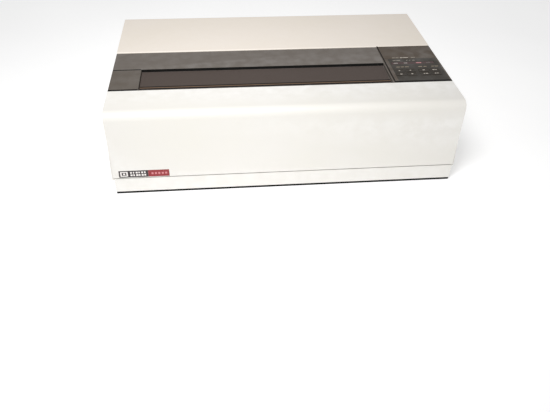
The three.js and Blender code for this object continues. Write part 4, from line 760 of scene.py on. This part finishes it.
    # ---- leaving the bench
    def piece(
        self,
        name: str,
        finish: Finish,
        body: str,
        slot: str,
        replaces: Iterable[str] = (),
        sharp: float = 42.0,
    ) -> bpy.types.Object:
        """Ends the work: makes the object, and lets it ride.

        Args:
            name: the piece's name.
            finish: its finish.
            body: the body that it moves with.
            slot: the record's slot; not used.
            replaces: the nodes that it stands for.
            sharp: an edge that turns more than this many degrees is drawn sharp.

        Returns:
            The object.
        """
        limit = math.radians(sharp)
        for face in self.bm.faces:
            face.smooth = True
        for edge in self.bm.edges:
            edge.smooth = not (edge.is_manifold and edge.calc_face_angle(0.0) > limit)
        mesh = bpy.data.meshes.new(name)
        self.bm.to_mesh(mesh)
        self.bm.free()
        thing = bpy.data.objects.new(name, mesh)
        bpy.context.scene.collection.objects.link(thing)
        mesh.materials.clear()
        mesh.materials.append(finish.paint())
        even = thing.modifiers.new("even shading", "WEIGHTED_NORMAL")
        even.keep_sharp = True
        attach(thing, body)
        if replaces:
            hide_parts(*replaces)
        return thing


def runs_along(axis: Axis) -> Pick:
    """A test for edges that run along an axis."""

    def test(edge: BMEdge) -> bool:
        """Whether the edge runs along the axis."""
        way = (edge.verts[1].co - edge.verts[0].co).normalized()
        return abs(way.dot(axis.vector)) > 0.999

    return test


def edge_middle(edge: BMEdge) -> Vector:
    """The middle of an edge, in millimetres."""
    return (edge.verts[0].co + edge.verts[1].co) / 2 / MM


def strips(
    name: str,
    finish: Finish,
    ride: tuple[str, str],
    boxes: Iterable[Extent],
    edge: tuple[float, int] | None = None,
    replaces: Iterable[str] = (),
) -> bpy.types.Object:
    """Makes a piece of one or more thin blocks.

    Args:
        name: the piece's name.
        finish: its finish.
        ride: the body that it moves with, and the record's slot.
        boxes: the box of each block.
        edge: the radius of its edges and the steps round them, or None for sharp ones.
        replaces: the nodes that it stands for.

    Returns:
        The object.
    """
    stock = Stock()
    for extent in boxes:
        stock.block(extent)
    if edge:
        stock.soften(*edge)
    return stock.piece(name, finish, *ride, replaces)


@dataclass(frozen=True)
class CarriedNode:
    """A node of the frame whose shape is right: it gets rounded edges and its finish."""

    node: str
    finish: Finish
    edge: float = 0.3
    segments: int = 2
    sharp: float = 42.0

    def build(self) -> bpy.types.Object:
        """Makes the rounded copy that stands for the node."""
        stock = Stock()
        stock.copy_node(self.node)
        if self.edge:
            stock.soften(self.edge, self.segments)
        return stock.piece(
            f"{self.node}_shape", self.finish, BODY_OF[self.node], SLOT_OF[self.node], [self.node], self.sharp
        )


# ------------------------------------------------------------------------------ covers
@dataclass(frozen=True)
class FrontHood:
    """The cream cover that runs up the front and back over the top."""

    wall: float = 3.0
    corner: float = 15.0
    lip: float = 10.0
    skirt_bottom: float = 125.5
    badge_margin: float = 0.3
    recess: float = 1.3
    ear: float = 6.0
    ear_radius: float = 4.5
    pin_height: float = 49.0
    pin_back: float = 8.0
    rib_places: tuple[float, ...] = (-160.0, 0.0, 160.0)

    def build(self) -> bpy.types.Object:
        """Makes the cover."""
        box = Extent.of("front_cover")
        badge = Extent.of("badge_plate")
        stock = Stock()
        stock.block(box)
        along = runs_along(Axis.X)
        stock.round(
            lambda e: along(e) and edge_middle(e).y < box.front + 1 and edge_middle(e).z > box.top - 1,
            self.corner,
            16,
        )
        margin = self.badge_margin
        stock.split(Axis.Z, self.skirt_bottom, box.top - self.lip, badge.bottom - margin, badge.top + margin)
        stock.split(Axis.X, badge.left - margin, badge.right + margin)
        stock.drop(lambda n, c: n.z < -0.9)
        stock.drop(lambda n, c: abs(n.x) > 0.9 and c.z < self.skirt_bottom)
        stock.drop(lambda n, c: n.y > 0.9 and c.z < box.top - self.lip)
        stock.wall(self.wall)
        stock.sink(
            lambda n, c: n.y < -0.9
            and c.y < box.front + 0.5
            and badge.left - margin < c.x < badge.right + margin
            and badge.bottom - margin < c.z < badge.top + margin,
            self.recess,
        )
        stock.soften(0.7, 3)
        self.add_ears(stock, box)
        self.add_ribs(stock, box)
        return stock.piece("front_hood", CREAM, "front_cover", "cream_case", ["front_cover"])

    def add_ears(self, stock: Stock, box: Extent) -> None:
        """Adds the two ears that turn on the case's pins.

        Args:
            stock: the cover under work.
            box: the cover's box.
        """
        for side in (-1, 1):
            ends = sorted((side * (box.right - 0.6), side * (box.right - 0.6 - self.ear)))
            y = back(self.pin_back)
            stock.rod(Axis.X, self.ear_radius, ends[0], ends[1], (0, y, self.pin_height), 28)
            stock.block(
                Extent(
                    ends[0] + 0.1, ends[1] - 0.1, box.front + self.wall - 0.5, y,
                    self.pin_height - self.ear_radius + 0.2, self.pin_height + self.ear_radius - 0.2,
                )
            )

    def add_ribs(self, stock: Stock, box: Extent) -> None:
        """Adds the thin ribs inside the corner.

        Args:
            stock: the cover under work.
            box: the cover's box.
        """
        inner = 1.5
        reach = 22.0
        for place in self.rib_places:
            points = [
                (box.front + inner, box.top - self.corner - 2 * reach),
                (box.front + inner + reach, box.top - self.corner),
                (box.front + inner + reach, box.top - inner),
                (box.front + self.corner, box.top - inner),
                (box.front + self.corner - self.wall, box.top - self.corner / 3),
                (box.front + inner, box.top - self.corner),
            ]
            plate(stock, points, place - 1.0, place + 1.0)


def plate(stock: Stock, points: Sequence[tuple[float, float]], left: float, right: float) -> None:
    """Adds a flat plate drawn in side view and thick along X.

    Args:
        stock: the piece under work.
        points: (depth, height) round its outline.
        left: its left face.
        right: its right face.
    """
    verts = [stock.bm.verts.new(metres((left, y, z))) for y, z in points]
    face = bmesh.ops.contextual_create(stock.bm, geom=verts)["faces"]
    grown = bmesh.ops.extrude_face_region(stock.bm, geom=face, use_keep_orig=True)
    moved = [g for g in grown["geom"] if isinstance(g, bmesh.types.BMVert)]
    bmesh.ops.translate(stock.bm, vec=Vector(((right - left) * MM, 0, 0)), verts=moved)
    shell = list({f for v in [*verts, *moved] for f in v.link_faces})
    bmesh.ops.recalc_face_normals(stock.bm, faces=shell)


@dataclass(frozen=True)
class RearCover:
    """The cream cover behind the paper slot, hinged along the back."""

    wall: float = 3.0
    front_lip: float = 6.0
    front_radius: float = 2.5
    rear_radius: float = 12.0
    side_bottom: float = 125.5
    rear_bottom: float = 127.5
    knuckle: float = 12.0
    knuckle_radius: float = 2.5
    pin_back: float = 417.2
    pin_height: float = 124.75
    hinge_x: float = 285.0
    knuckle_root: float = 207.1  # the depth at which the knuckles leave the cover

    def build(self) -> bpy.types.Object:
        """Makes the cover."""
        box = Extent.of("rear_cover")
        stock = Stock()
        stock.block(Extent(box.left, box.right, box.front, REAR, self.side_bottom, box.top))
        along = runs_along(Axis.X)
        stock.round(
            lambda e: along(e) and edge_middle(e).y > REAR - 1 and edge_middle(e).z > box.top - 1,
            self.rear_radius,
            14,
        )
        stock.round(
            lambda e: along(e) and edge_middle(e).y < box.front + 1 and edge_middle(e).z > box.top - 1,
            self.front_radius,
            6,
        )
        stock.split(Axis.Z, box.top - self.front_lip, self.rear_bottom)
        stock.drop(lambda n, c: n.z < -0.9)
        stock.drop(lambda n, c: n.y < -0.9 and c.z < box.top - self.front_lip)
        stock.drop(lambda n, c: n.y > 0.9 and c.z < self.rear_bottom)
        stock.wall(self.wall)
        stock.soften(0.7, 3)
        inner = self.knuckle / 2 + 0.3
        outer = inner + self.knuckle - 3
        for x in (-self.hinge_x, self.hinge_x):
            for start, end in ((x - outer, x - inner), (x + inner, x + outer)):
                y = back(self.pin_back)
                stock.rod(Axis.X, self.knuckle_radius, start, end, (0, y, self.pin_height), 24)
                root = self.knuckle_root
                stock.block(
                    Extent(start + 0.05, end - 0.05, root, y + 1.2, self.pin_height, self.rear_bottom + 0.6)
                )
        return stock.piece("rear_hood", WARM_CREAM, "rear_cover", "cream_case", ["rear_cover"])


@dataclass(frozen=True)
class Badge:
    """The little plate on the front: a dark field and a red one, with plain marks."""

    red_share: float = 0.42
    mark_rise: float = 0.12

    def build(self) -> list[bpy.types.Object]:
        """Makes the plate and its marks."""
        box = Extent.of("badge_plate")
        split = box.right - (box.right - box.left) * self.red_share
        made = []
        fields = (
            ("badge_dark_field", BADGE_DARK, box.left, split - 0.15, ["badge_plate"]),
            ("badge_red_field", BADGE_RED, split + 0.15, box.right, []),
        )
        for name, finish, left, right, nodes in fields:
            field = Extent(left, right, box.front, box.rear, box.bottom, box.top)
            made.append(strips(name, finish, BADGE_RIDE, [field], (0.25, 2), nodes))
        pale, red = self.pale_marks(box), self.red_marks(box, split)
        made.append(strips("badge_marks", BADGE_MARK, BADGE_RIDE, pale, (0.05, 1)))
        made.append(strips("badge_red_marks", BADGE_FAINT, BADGE_RIDE, red, (0.05, 1)))
        return made

    def pale_marks(self, box: Extent) -> list[Extent]:
        """The plain bars and square on the dark field."""
        face, rear = box.front - self.mark_rise, box.front + 0.3
        low, high = box.bottom + 2.0, box.top - 2.0
        bars = [
            Extent(box.left + 2.5, box.left + 5.0, face, rear, low, high),
            Extent(box.left + 13.5, box.left + 16.0, face, rear, low, high),
            Extent(box.left + 5.2, box.left + 13.3, face, rear, high - 2.0, high),
            Extent(box.left + 5.2, box.left + 13.3, face, rear, low, low + 2.0),
            Extent(box.left + 7.4, box.left + 11.1, face, rear, low + 3.4, high - 3.4),
        ]
        middle = (low + high) / 2
        for i, width in enumerate((3.0, 2.2, 3.6, 2.4, 3.2, 2.6)):
            start = box.left + 20.5 + i * 5.0
            bars.append(Extent(start, start + width, face, rear, middle + 1.0, high - 0.6))
            bars.append(Extent(start, start + 0.6 + width, face, rear, low + 0.6, middle - 1.0))
        return bars

    def red_marks(self, box: Extent, split: float) -> list[Extent]:
        """The row of small squares on the red field."""
        face, rear = box.front - self.mark_rise, box.front + 0.3
        middle = (box.bottom + box.top) / 2
        return [
            Extent(split + 6.0 + i * 6.2, split + 9.6 + i * 6.2, face, rear, middle - 2.0, middle + 2.0)
            for i in range(5)
        ]


# ----------------------------------------------------------------------- lid and panel
@dataclass(frozen=True)
class PaperLid:
    """The smoked lid: fine grooves across its top, knuckles, and strips along its front edge, two of them
    near-black painted shadow.
    """

    start_back: float = 91.8
    end_back: float = 162.2
    thickness: float = 3.0
    rib_pitch: float = 2.4
    rib_depth: float = 0.18
    rib_margin: float = 2.0  # left plain round the grooved field
    groove: float = 0.7
    knuckles: int = 4
    knuckle_width: float = 14.0
    knuckle_radius: float = 3.0
    rod_back: float = 88.5
    ribs_from: float = 106.0
    # the two near-black bands are painted shadow in the gaps along the lid's front edge
    bands: tuple[tuple[str, Finish, float, float, float], ...] = (
        ("lid_front_painted_shadow", SHADOW_BLACK, 92.6, 97.4, 0.10),
        ("lid_tan_strip", TAN, 97.4, 100.0, 0.22),
        ("lid_rear_painted_shadow", SHADOW_BLACK, 100.0, 104.0, 0.10),
    )

    def build(self) -> list[bpy.types.Object]:
        """Makes the lid and the strips let into its front edge."""
        box = Extent.of("paper_lid")
        top = box.top
        front, rear = back(self.start_back), back(self.end_back)
        stock = Stock()
        stock.block(Extent(box.left, box.right, front, rear, top - self.thickness, top))
        stock.soften(0.6, 3)
        ribs_start = back(self.ribs_from)
        margin = self.rib_margin
        stock.split(Axis.Y, ribs_start, rear - margin)
        count = int((box.right - box.left - 2 * margin) / self.rib_pitch)
        for i in range(count + 1):
            at = box.left + margin + i * self.rib_pitch
            stock.split(Axis.X, at, at + self.groove)
        stock.sink(
            lambda n, c: n.z > 0.9
            and ribs_start < c.y < rear - margin
            and box.left + margin < c.x < box.right - margin
            and ((c.x - box.left - margin) % self.rib_pitch) < self.groove,
            self.rib_depth,
        )
        spread = (box.right - box.left - self.knuckle_width - 8) / (self.knuckles - 1)
        rod_height = top - self.thickness / 2
        for i in range(self.knuckles):
            x = box.left + 4 + i * spread
            centre = (0, back(self.rod_back), rod_height)
            stock.rod(Axis.X, self.knuckle_radius, x, x + self.knuckle_width, centre, 24)
            stock.block(
                Extent(
                    x + 0.1, x + self.knuckle_width - 0.1, back(self.rod_back), front + 0.8,
                    top - self.thickness + 0.1, top - 0.1,
                )
            )
        return [
            stock.piece("smoked_lid", SMOKED, "paper_lid", "smoked_lid", ["paper_lid"]),
            *(self.band(name, finish, box, spread) for name, finish, *spread in self.bands),
        ]

    def band(self, name: str, finish: Finish, box: Extent, spread: Sequence[float]) -> bpy.types.Object:
        """One of the strips let into the lid along its front edge.

        Args:
            name: the piece's name.
            finish: its finish.
            box: the lid's box.
            spread: where it starts and ends, behind the front face, and how far it stands up.

        Returns:
            The piece.
        """
        start, end, rise = spread
        strip = Extent(box.left + 0.8, box.right - 0.8, back(start), back(end), box.top - 0.5, box.top + rise)
        return strips(name, finish, ("paper_lid", "smoked_lid"), [strip], (min(0.08, rise / 2), 1))


@dataclass(frozen=True)
class ControlPanel:
    """The dark panel on the right: keys, lamps, legends and a double border."""

    mark_rise: float = 0.1
    border_back: tuple[float, float] = (89.0, 181.0)
    overlay_back: tuple[float, float] = (89.5, 181.6)
    overlay_inset: float = 9.0
    overlay_thickness: float = 0.15
    key_gap: float = 0.15
    lens_gap: float = 0.4
    overlay_end: float = 3.4  # in from the panel's right end
    lamp_row: tuple[tuple[float, float, Finish], ...] = (
        (230.5, 4.4, LAMP_CLEAR),
        (250.5, 3.6, LAMP_CLEAR),
        (277.0, 5.4, LAMP_RED),
        (296.0, 4.4, LAMP_DIM),
    )
    side_shadow_strip: tuple[float, float] = (0.3, 2.3)  # in from the panel's left end
    side_lines: tuple[tuple[float, float], ...] = ((4.2, 4.9), (7.0, 7.6))

    def build(self) -> list[bpy.types.Object]:
        """Makes the panel, its printed marks and its lamps."""
        made = [CarriedNode("control_panel", PANEL, 0.4, 2).build()]
        box = Extent.of("control_panel")
        face = Extent(box.left, box.right, box.front, box.rear, box.bottom, PANEL_TOP)
        made.append(self.overlay(face))
        made.extend(self.border(face))
        made.extend(self.legends(face))
        made.extend(self.lamps())
        return made

    def overlay(self, face: Extent) -> bpy.types.Object:
        """The thin dark overlay round the keys and lamps.

        Args:
            face: the panel's top, as a box.

        Returns:
            The piece.
        """
        keys = [Extent.of(f"key_{n}").middle for n in range(1, 9)]
        half_x, half_y = KEY_WIDTH / 2 + self.key_gap, KEY_DEPTH / 2 + self.key_gap
        lens = Extent.of("indicator_lens")
        left, right = face.left + self.overlay_inset, face.right - self.overlay_end
        stock = Stock()
        start, end = self.overlay_back
        centre = ((left + right) / 2, (back(start) + back(end)) / 2, face.top + 0.02)
        size = Matrix.Diagonal(((right - left) * MM, (end - start) * MM, 1.0, 1.0))
        matrix = Matrix.Translation(metres(centre)) @ size
        bmesh.ops.create_grid(stock.bm, x_segments=1, y_segments=1, size=0.5, matrix=matrix)
        for x in sorted({round(k[0], 2) for k in keys}):
            stock.split(Axis.X, x - half_x, x + half_x)
        for y in sorted({round(k[1], 2) for k in keys}):
            stock.split(Axis.Y, y - half_y, y + half_y)
        stock.split(Axis.X, lens.left - self.lens_gap, lens.right + self.lens_gap)
        stock.split(Axis.Y, lens.front - self.lens_gap, lens.rear + self.lens_gap)
        stock.drop(
            lambda n, c: any(abs(c.x - k[0]) < half_x and abs(c.y - k[1]) < half_y for k in keys)
            or (lens.left < c.x < lens.right and lens.front < c.y < lens.rear)
        )
        made = bmesh.ops.extrude_face_region(stock.bm, geom=stock.bm.faces[:], use_keep_orig=True)
        lifted = [g for g in made["geom"] if isinstance(g, bmesh.types.BMVert)]
        bmesh.ops.translate(stock.bm, vec=(0, 0, self.overlay_thickness * MM), verts=lifted)
        bmesh.ops.recalc_face_normals(stock.bm, faces=stock.bm.faces[:])
        return stock.piece("key_field_overlay", OVERLAY, "chassis", "panel_dark")

    def border(self, face: Extent) -> list[bpy.types.Object]:
        """A near-black strip of painted shadow down the panel's left end, and the two fine raised lines
        beside it.
        """
        start, end = (back(b) for b in self.border_back)
        near, far = self.side_shadow_strip
        left, right = face.left + near, face.left + far
        # the near-black strip is painted shadow along the panel's left end
        felt = Extent(left, right, face.front + 0.4, face.rear - 0.6, face.top - 0.2, face.top + 0.22)
        lines = [
            Extent(face.left + near, face.left + far, start, end, face.top - 0.2, face.top + 0.3)
            for near, far in self.side_lines
        ]
        return [
            strips("panel_side_painted_shadow", SHADOW_BLACK, TRIM_RIDE, [felt], (0.1, 1)),
            strips("panel_border", LINE_INK, PANEL_RIDE, lines, (0.12, 1)),
        ]

    def legends(self, face: Extent) -> list[bpy.types.Object]:
        """The rows of short printed dashes beside the lamps and keys."""
        overlay = face.top + self.overlay_thickness
        rows = (
            ("panel_rear_legends", INK, face.top, 187.0, ((245.2, 251.0), (252.0, 261.5))),
            (
                "panel_rear_faint_legends", DIM_INK, face.top, 187.0,
                ((229.0, 234.5), (236.0, 242.0), (267.7, 275.8)),
            ),
            (
                "panel_lamp_legends", DIM_INK, overlay, 174.1,
                ((227.0, 233.0), (234.2, 242.0), (254.5, 257.0), (260.0, 263.0), (267.0, 272.0)),
            ),
            (
                "panel_key_legends", TAN_INK, overlay, 146.0,
                (
                    (227.0, 234.5), (236.2, 242.6), (244.2, 252.4), (271.5, 279.0),
                    (282.0, 288.0), (297.5, 302.5), (304.0, 311.0),
                ),
            ),
        )
        made = []
        for name, finish, level, row_back, spans in rows:
            y = back(row_back)
            dashes = [
                Extent(left, right, y - 0.75, y + 0.75, level - 0.1, level + self.mark_rise)
                for left, right in spans
            ]
            made.append(strips(name, finish, PANEL_RIDE, dashes))
        return made

    def lamps(self) -> list[bpy.types.Object]:
        """The lens strip and the lamps under it."""
        lens = Extent.of("indicator_lens")
        made = [strips("lamp_lens", LENS, LENS_RIDE, [lens], (0.3, 2), ["indicator_lens"])]
        y = lens.middle[1]
        for i, (x, half, finish) in enumerate(self.lamp_row):
            lamp = Extent(x - half, x + half, y - 1.7, y + 1.7, lens.top - 0.6, lens.top + 0.12)
            made.append(strips(f"lamp_{i + 1}", finish, LENS_RIDE, [lamp], (0.35, 2)))
        return made


@dataclass(frozen=True)
class KeyCap:
    """One push key: a dished cap on a flange, with a short printed legend."""

    number: int
    dish: float = 0.45
    corner: float = 1.6
    height: float = 6.1
    flange: float = 1.6
    stem_radius: float = 2.0
    mark_gap: float = 1.8
    shoulder: float = 0.4  # of the rounded rim, below the top
    crown_steps: tuple[tuple[float, float], ...] = ((0.12, 0.25), (0.3, 0.15), (0.5, 0.0), (0.6, -0.45))

    def build(self) -> list[bpy.types.Object]:
        """Makes the cap and its legend."""
        node = f"key_{self.number}"
        box = Extent.of(node)
        x, y, _ = box.middle
        top = box.top
        cap_bottom = top - self.height
        stock = Stock()
        half_x, half_y = KEY_WIDTH / 2, KEY_DEPTH / 2
        stock.block(Extent(x - half_x, x + half_x, y - half_y, y + half_y, cap_bottom, top - self.shoulder))
        stock.round(runs_along(Axis.Z), self.corner, 4)
        # The steps together stay inside the corner's radius, so the rings never cross.
        crown = [f for f in stock.bm.faces if f.normal.z > 0.9]
        for inwards, rise in self.crown_steps:
            bmesh.ops.inset_region(
                stock.bm, faces=crown, thickness=inwards * MM, depth=rise * MM, use_even_offset=True
            )
        stock.block(Extent(box.left, box.right, box.front, box.rear, cap_bottom, cap_bottom + self.flange))
        stock.rod(Axis.Z, self.stem_radius, box.bottom, cap_bottom + 0.5, (x, y, 0), 20)
        cap = stock.piece(f"{node}_cap", KEYCAP, node, "key_dark", [node])
        return [cap, self.legend(node, x, y, top - self.dish)]

    def legend(self, node: str, x: float, y: float, floor: float) -> bpy.types.Object:
        """The short printed bars on the cap.

        Args:
            node: the key's node.
            x: the key's middle.
            y: the key's middle in depth.
            floor: the height of the dished top.

        Returns:
            The piece.
        """
        widths = KEY_MARKS[self.number - 1]
        bars = []
        start = x - (sum(widths) + self.mark_gap * (len(widths) - 1)) / 2
        for width in widths:
            bars.append(Extent(start, start + width, y - 0.9, y + 0.9, floor - 0.1, floor + 0.12))
            start += width + self.mark_gap
        return strips(f"{node}_legend", INK, (node, "key_dark"), bars)


# ------------------------------------------------------------------------ case and feet
@dataclass(frozen=True)
class Case:
    """The cream lower case with its rubber feet and the dark trim, and near-black strips of painted shadow: a
    skirt under the case, and strips in the trim's slot and seams.
    """

    foot_radius: float = 11.0
    foot_tip: float = 9.5
    base_inset: float = 0.5
    # thickness of the near-black strips of painted shadow in the slot and the seams
    felt: float = 0.3
    shadow_strip_reach: float = 6.2  # back over the trim from its front edge
    block_seam: float = 167.0  # behind the front face, of the seam across the left block
    slot_back: float = 167.5  # behind the front face, of the slot's rear wall
    slot_shadow_heights: tuple[float, float] = (156.4, 168.2)
    plinth_side: float = 319.0

    def build(self) -> list[bpy.types.Object]:
        """Makes the case's pieces."""
        trim, lid, panel = (Extent.of(node) for node in ("top_trim", "paper_lid", "control_panel"))
        made = [
            CarriedNode("lower_case", CREAM, 0.6, 2).build(),
            CarriedNode("top_trim", TRIM, 0.4, 2).build(),
            self.base_shadow_skirt(),
            self.slot_painted_shadow(),
            *self.left_block(),
            self.seam_painted_shadow("block_seam_painted_shadow", trim.left + 0.4, lid.left - 1.6, TRIM_TOP),
            self.seam_painted_shadow("panel_seam_painted_shadow", panel.left + 0.4, panel.right - 0.6, PANEL_TOP),
        ]
        for end in ("front", "rear"):
            for side in ("left", "right"):
                made.append(self.foot(f"foot_{end}_{side}"))
        return made

    def left_block(self) -> list[bpy.types.Object]:
        """The darker plate over the trim's left block, and behind it a near-black strip of painted shadow in
        the seam's groove.
        """
        trim = Extent.of("top_trim")
        lid = Extent.of("paper_lid")
        top = TRIM_TOP
        left, right = trim.left + 0.5, lid.left - 1.4
        start, end = trim.front + self.shadow_strip_reach + 0.3, back(self.block_seam - 2.0)
        cover = Extent(left, right, start, end, top - 0.2, top + 0.25)
        # the near-black strip in the seam is painted shadow
        seam = Extent(left, right, end + 0.05, back(self.block_seam + 1.6), top - 0.6, top + 0.08)
        return [
            strips("left_block_plate", BLOCK_TRIM, TRIM_RIDE, [cover], (0.15, 2)),
            strips("left_block_painted_shadow", SHADOW_BLACK, TRIM_RIDE, [seam]),
        ]

    def base_shadow_skirt(self) -> bpy.types.Object:
        """A skirt set back under the case, coloured near-black as painted shadow, seen as the dark gap line
        below the plinth.
        """
        case = Extent.of("lower_case")
        inset = self.base_inset
        side = self.plinth_side - inset
        stock = Stock()
        stock.block(Extent(-side, side, case.front + inset, REAR - inset, 0.3, case.bottom - 0.15))
        stock.drop(lambda n, c: abs(n.z) > 0.9)
        stock.wall(2.0)
        stock.soften(0.3, 2)
        return stock.piece("base_shadow_skirt", SHADOW_BLACK, "chassis", "black_plastic")

    def slot_painted_shadow(self) -> bpy.types.Object:
        """A near-black sheet on the paper slot's rear wall behind the lid: painted shadow in the slot."""
        lid = Extent.of("paper_lid")
        rear = back(self.slot_back)
        front = rear - self.felt - 0.05
        liner = Extent(lid.left - 0.6, lid.right + 0.6, front, rear - 0.05, *self.slot_shadow_heights)
        return strips("slot_painted_shadow", SHADOW_BLACK, ("chassis", "black_plastic"), [liner])

    def seam_painted_shadow(self, name: str, left: float, right: float, floor: float) -> bpy.types.Object:
        """A near-black strip laid along the front edge of the trim or the panel: painted shadow in the seam
        under the hood.

        Args:
            name: the piece's name.
            left: its left end.
            right: its right end.
            floor: the height of what it lies on.

        Returns:
            The piece.
        """
        start = Extent.of("top_trim").front + 0.3
        strip = Extent(left, right, start, start + self.shadow_strip_reach, floor - 0.2, floor + self.felt)
        return strips(name, SHADOW_BLACK, TRIM_RIDE, [strip], (0.1, 1))

    def foot(self, node: str) -> bpy.types.Object:
        """A turned rubber foot with a hollow for its screw.

        Args:
            node: the foot's node.

        Returns:
            The piece.
        """
        box = Extent.of(node)
        x, y, _ = box.middle
        outline = (
            (0.0, box.top), (self.foot_radius - 0.5, box.top), (self.foot_radius, box.top - 0.5),
            (self.foot_tip + 0.25, box.bottom + 0.7), (self.foot_tip - 0.5, box.bottom),
            (6.2, box.bottom), (5.8, box.bottom + 0.5), (5.8, box.bottom + 2.2), (0.0, box.bottom + 2.4),
        )
        stock = Stock()
        stock.lathe(Axis.Z, outline, (x, y, 0.0), 36)
        return stock.piece(f"{node}_turned", RUBBER, "chassis", "rubber", [node])


# --------------------------------------------------------------------------- mechanism
@dataclass(frozen=True)
class Mechanism:
    """Everything under the covers whose shape comes straight from the frame."""

    rows: tuple[tuple[object, ...], ...] = (  # node, finish, edge radius, and steps where not two
        ("lid_hinge_rod", BRASS, 0.2),
        ("keypad_board", BOARD, 0.2),
        ("mechanism_tray", ZINC, 0.3),
        ("side_frame_left", ZINC, 0.3),
        ("side_frame_right", ZINC, 0.3),
        ("front_rail", STEEL, 0.4),
        ("rear_rail", STEEL, 0.4),
        ("tractor_rail", STEEL, 0.4),
        ("carriage", BLACK_PLASTIC, 0.4),
        ("print_head", CAST, 0.3),
        ("ribbon_cartridge", PHENOLIC, 0.3),
        ("ribbon_knob", NATURAL, 0.3),
        ("carriage_motor", CAST, 0.6),
        ("drive_pulley", NATURAL, 0.2),
        ("idler_pulley", NATURAL, 0.2),
        ("carriage_belt", BELT_RUBBER, 0.2),
        ("platen_shaft", STEEL, 0.4),
        ("platen_roller", PLATEN_RUBBER, 0.5),
        ("platen_gear", NATURAL, 0.15, 1),
        ("feed_motor", CAST, 0.6),
        ("feed_pinion", BRASS, 0.12, 1),
        ("feed_idler_gear", NATURAL, 0.15, 1),
        ("paper_bail", STEEL, 0.3),
        ("bail_roller_1", RUBBER, 0.5),
        ("bail_roller_2", RUBBER, 0.5),
        ("bail_roller_3", RUBBER, 0.5),
        ("tractor_shaft", STEEL, 0.3),
        ("tractor_gear", NATURAL, 0.15, 1),
        ("tractor_left", BLACK_PLASTIC, 0.3),
        ("tractor_right", BLACK_PLASTIC, 0.3),
        ("pin_wheel_left", NATURAL, 0.15, 1),
        ("pin_wheel_right", NATURAL, 0.15, 1),
        ("tractor_door_left", BLACK_PLASTIC, 0.25),
        ("tractor_door_right", BLACK_PLASTIC, 0.25),
        ("main_board", BOARD, 0.2),
        ("interface_connector", BLACK_PLASTIC, 0.3),
        ("mains_inlet", BLACK_PLASTIC, 0.3),
        ("power_rocker", BLACK_PLASTIC, 0.3),
        ("power_transformer", CORE, 0.4),
    )

    def build(self) -> list[bpy.types.Object]:
        """Makes the mechanism's pieces."""
        return [CarriedNode(*row).build() for row in self.rows]


# ------------------------------------------------------------------------------- studio
@dataclass(frozen=True)
class Studio:
    """A plain pale floor and soft light."""

    floor_size: float = 14.0
    sky: float = 0.5
    floor_glow: float = 0.29

    def build(self) -> None:
        """Makes the floor, the sky and the lights."""
        bm = bmesh.new()
        bmesh.ops.create_grid(bm, x_segments=1, y_segments=1, size=self.floor_size / 2)
        mesh = bpy.data.meshes.new("floor")
        bm.to_mesh(mesh)
        bm.free()
        floor = bpy.data.objects.new("floor", mesh)
        bpy.context.scene.collection.objects.link(floor)
        sheet = NodeSheet("floor paper")
        mesh.materials.append(
            sheet.finish(
                Base_Color=sheet.blend(
                    sheet.spread(sheet.noise(3.0), 0.3, 0.7, (0.0, 1.0)), (0.93, 0.93, 0.93), (0.9, 0.9, 0.9)
                ),
                Roughness=0.9,
                Specular_IOR_Level=0.1,
                Emission_Color=(1.0, 1.0, 1.0, 1.0),
                Emission_Strength=self.floor_glow,
            )
        )
        world = bpy.data.worlds.new("studio")
        world.use_nodes = True
        world.node_tree.nodes["Background"].inputs["Color"].default_value = (1.0, 1.0, 1.0, 1.0)
        world.node_tree.nodes["Background"].inputs["Strength"].default_value = self.sky
        bpy.context.scene.world = world
        self.lamp("key softbox", (-0.26, -0.72, 1.12), (-0.08, 0.0, 0.12), 0.45, 4.2, 105.0)

    def lamp(self, name: str, place: Place, target: Place, size: float, power: float, spread: float) -> None:
        """Adds a square softbox.

        Args:
            name: its name.
            place: where it stands, in metres.
            target: what it points at.
            size: its side.
            power: its power in watts.
            spread: how wide its grid lets the light out, in degrees.
        """
        data = bpy.data.lights.new(name, "AREA")
        data.shape = "SQUARE"
        data.size = size
        data.energy = power
        data.spread = math.radians(spread)
        lamp = bpy.data.objects.new(name, data)
        lamp.location = place
        lamp.rotation_mode = "QUATERNION"
        lamp.rotation_quaternion = (Vector(target) - Vector(place)).to_track_quat("-Z", "Y")
        bpy.context.scene.collection.objects.link(lamp)


@dataclass(frozen=True)
class Viewpoint:
    """The camera: where it stands, how it is turned, and its lens."""

    place: Place = (-0.1194, -1.1092, 0.6956)
    yaw: float = -6.228  # degrees to the right of straight ahead are negative
    pitch: float = -39.395
    roll: float = 1.243
    lens: float = 39.03
    sensor: float = 36.0

    def build(self) -> None:
        """Makes the camera and uses it."""
        data = bpy.data.cameras.new("camera")
        data.lens = self.lens
        data.sensor_width = self.sensor
        data.sensor_fit = "HORIZONTAL"
        data.clip_start, data.clip_end = 0.01, 60.0
        camera = bpy.data.objects.new("camera", data)
        turn = (
            Matrix.Rotation(math.radians(self.yaw), 4, "Z")
            @ Matrix.Rotation(math.radians(90 + self.pitch), 4, "X")
            @ Matrix.Rotation(math.radians(self.roll), 4, "Z")
        )
        camera.matrix_world = Matrix.Translation(self.place) @ turn
        bpy.context.scene.collection.objects.link(camera)
        bpy.context.scene.camera = camera


def main() -> None:
    """Builds the printer and the studio, and reports each piece."""
    logging.basicConfig(level=logging.INFO, format="%(message)s")
    Viewpoint().build()
    Studio().build()
    made: list[bpy.types.Object] = []
    made.extend(Case().build())
    made.append(FrontHood().build())
    made.append(RearCover().build())
    made.extend(Badge().build())
    made.extend(PaperLid().build())
    made.extend(ControlPanel().build())
    for number in range(1, 9):
        made.extend(KeyCap(number).build())
    made.extend(Mechanism().build())
    for thing in made:
        log.info("%s: %d faces", thing.name, len(thing.data.polygons))
    bpy.context.scene.view_settings.view_transform = "Standard"


if __name__ == "__main__":
    main()
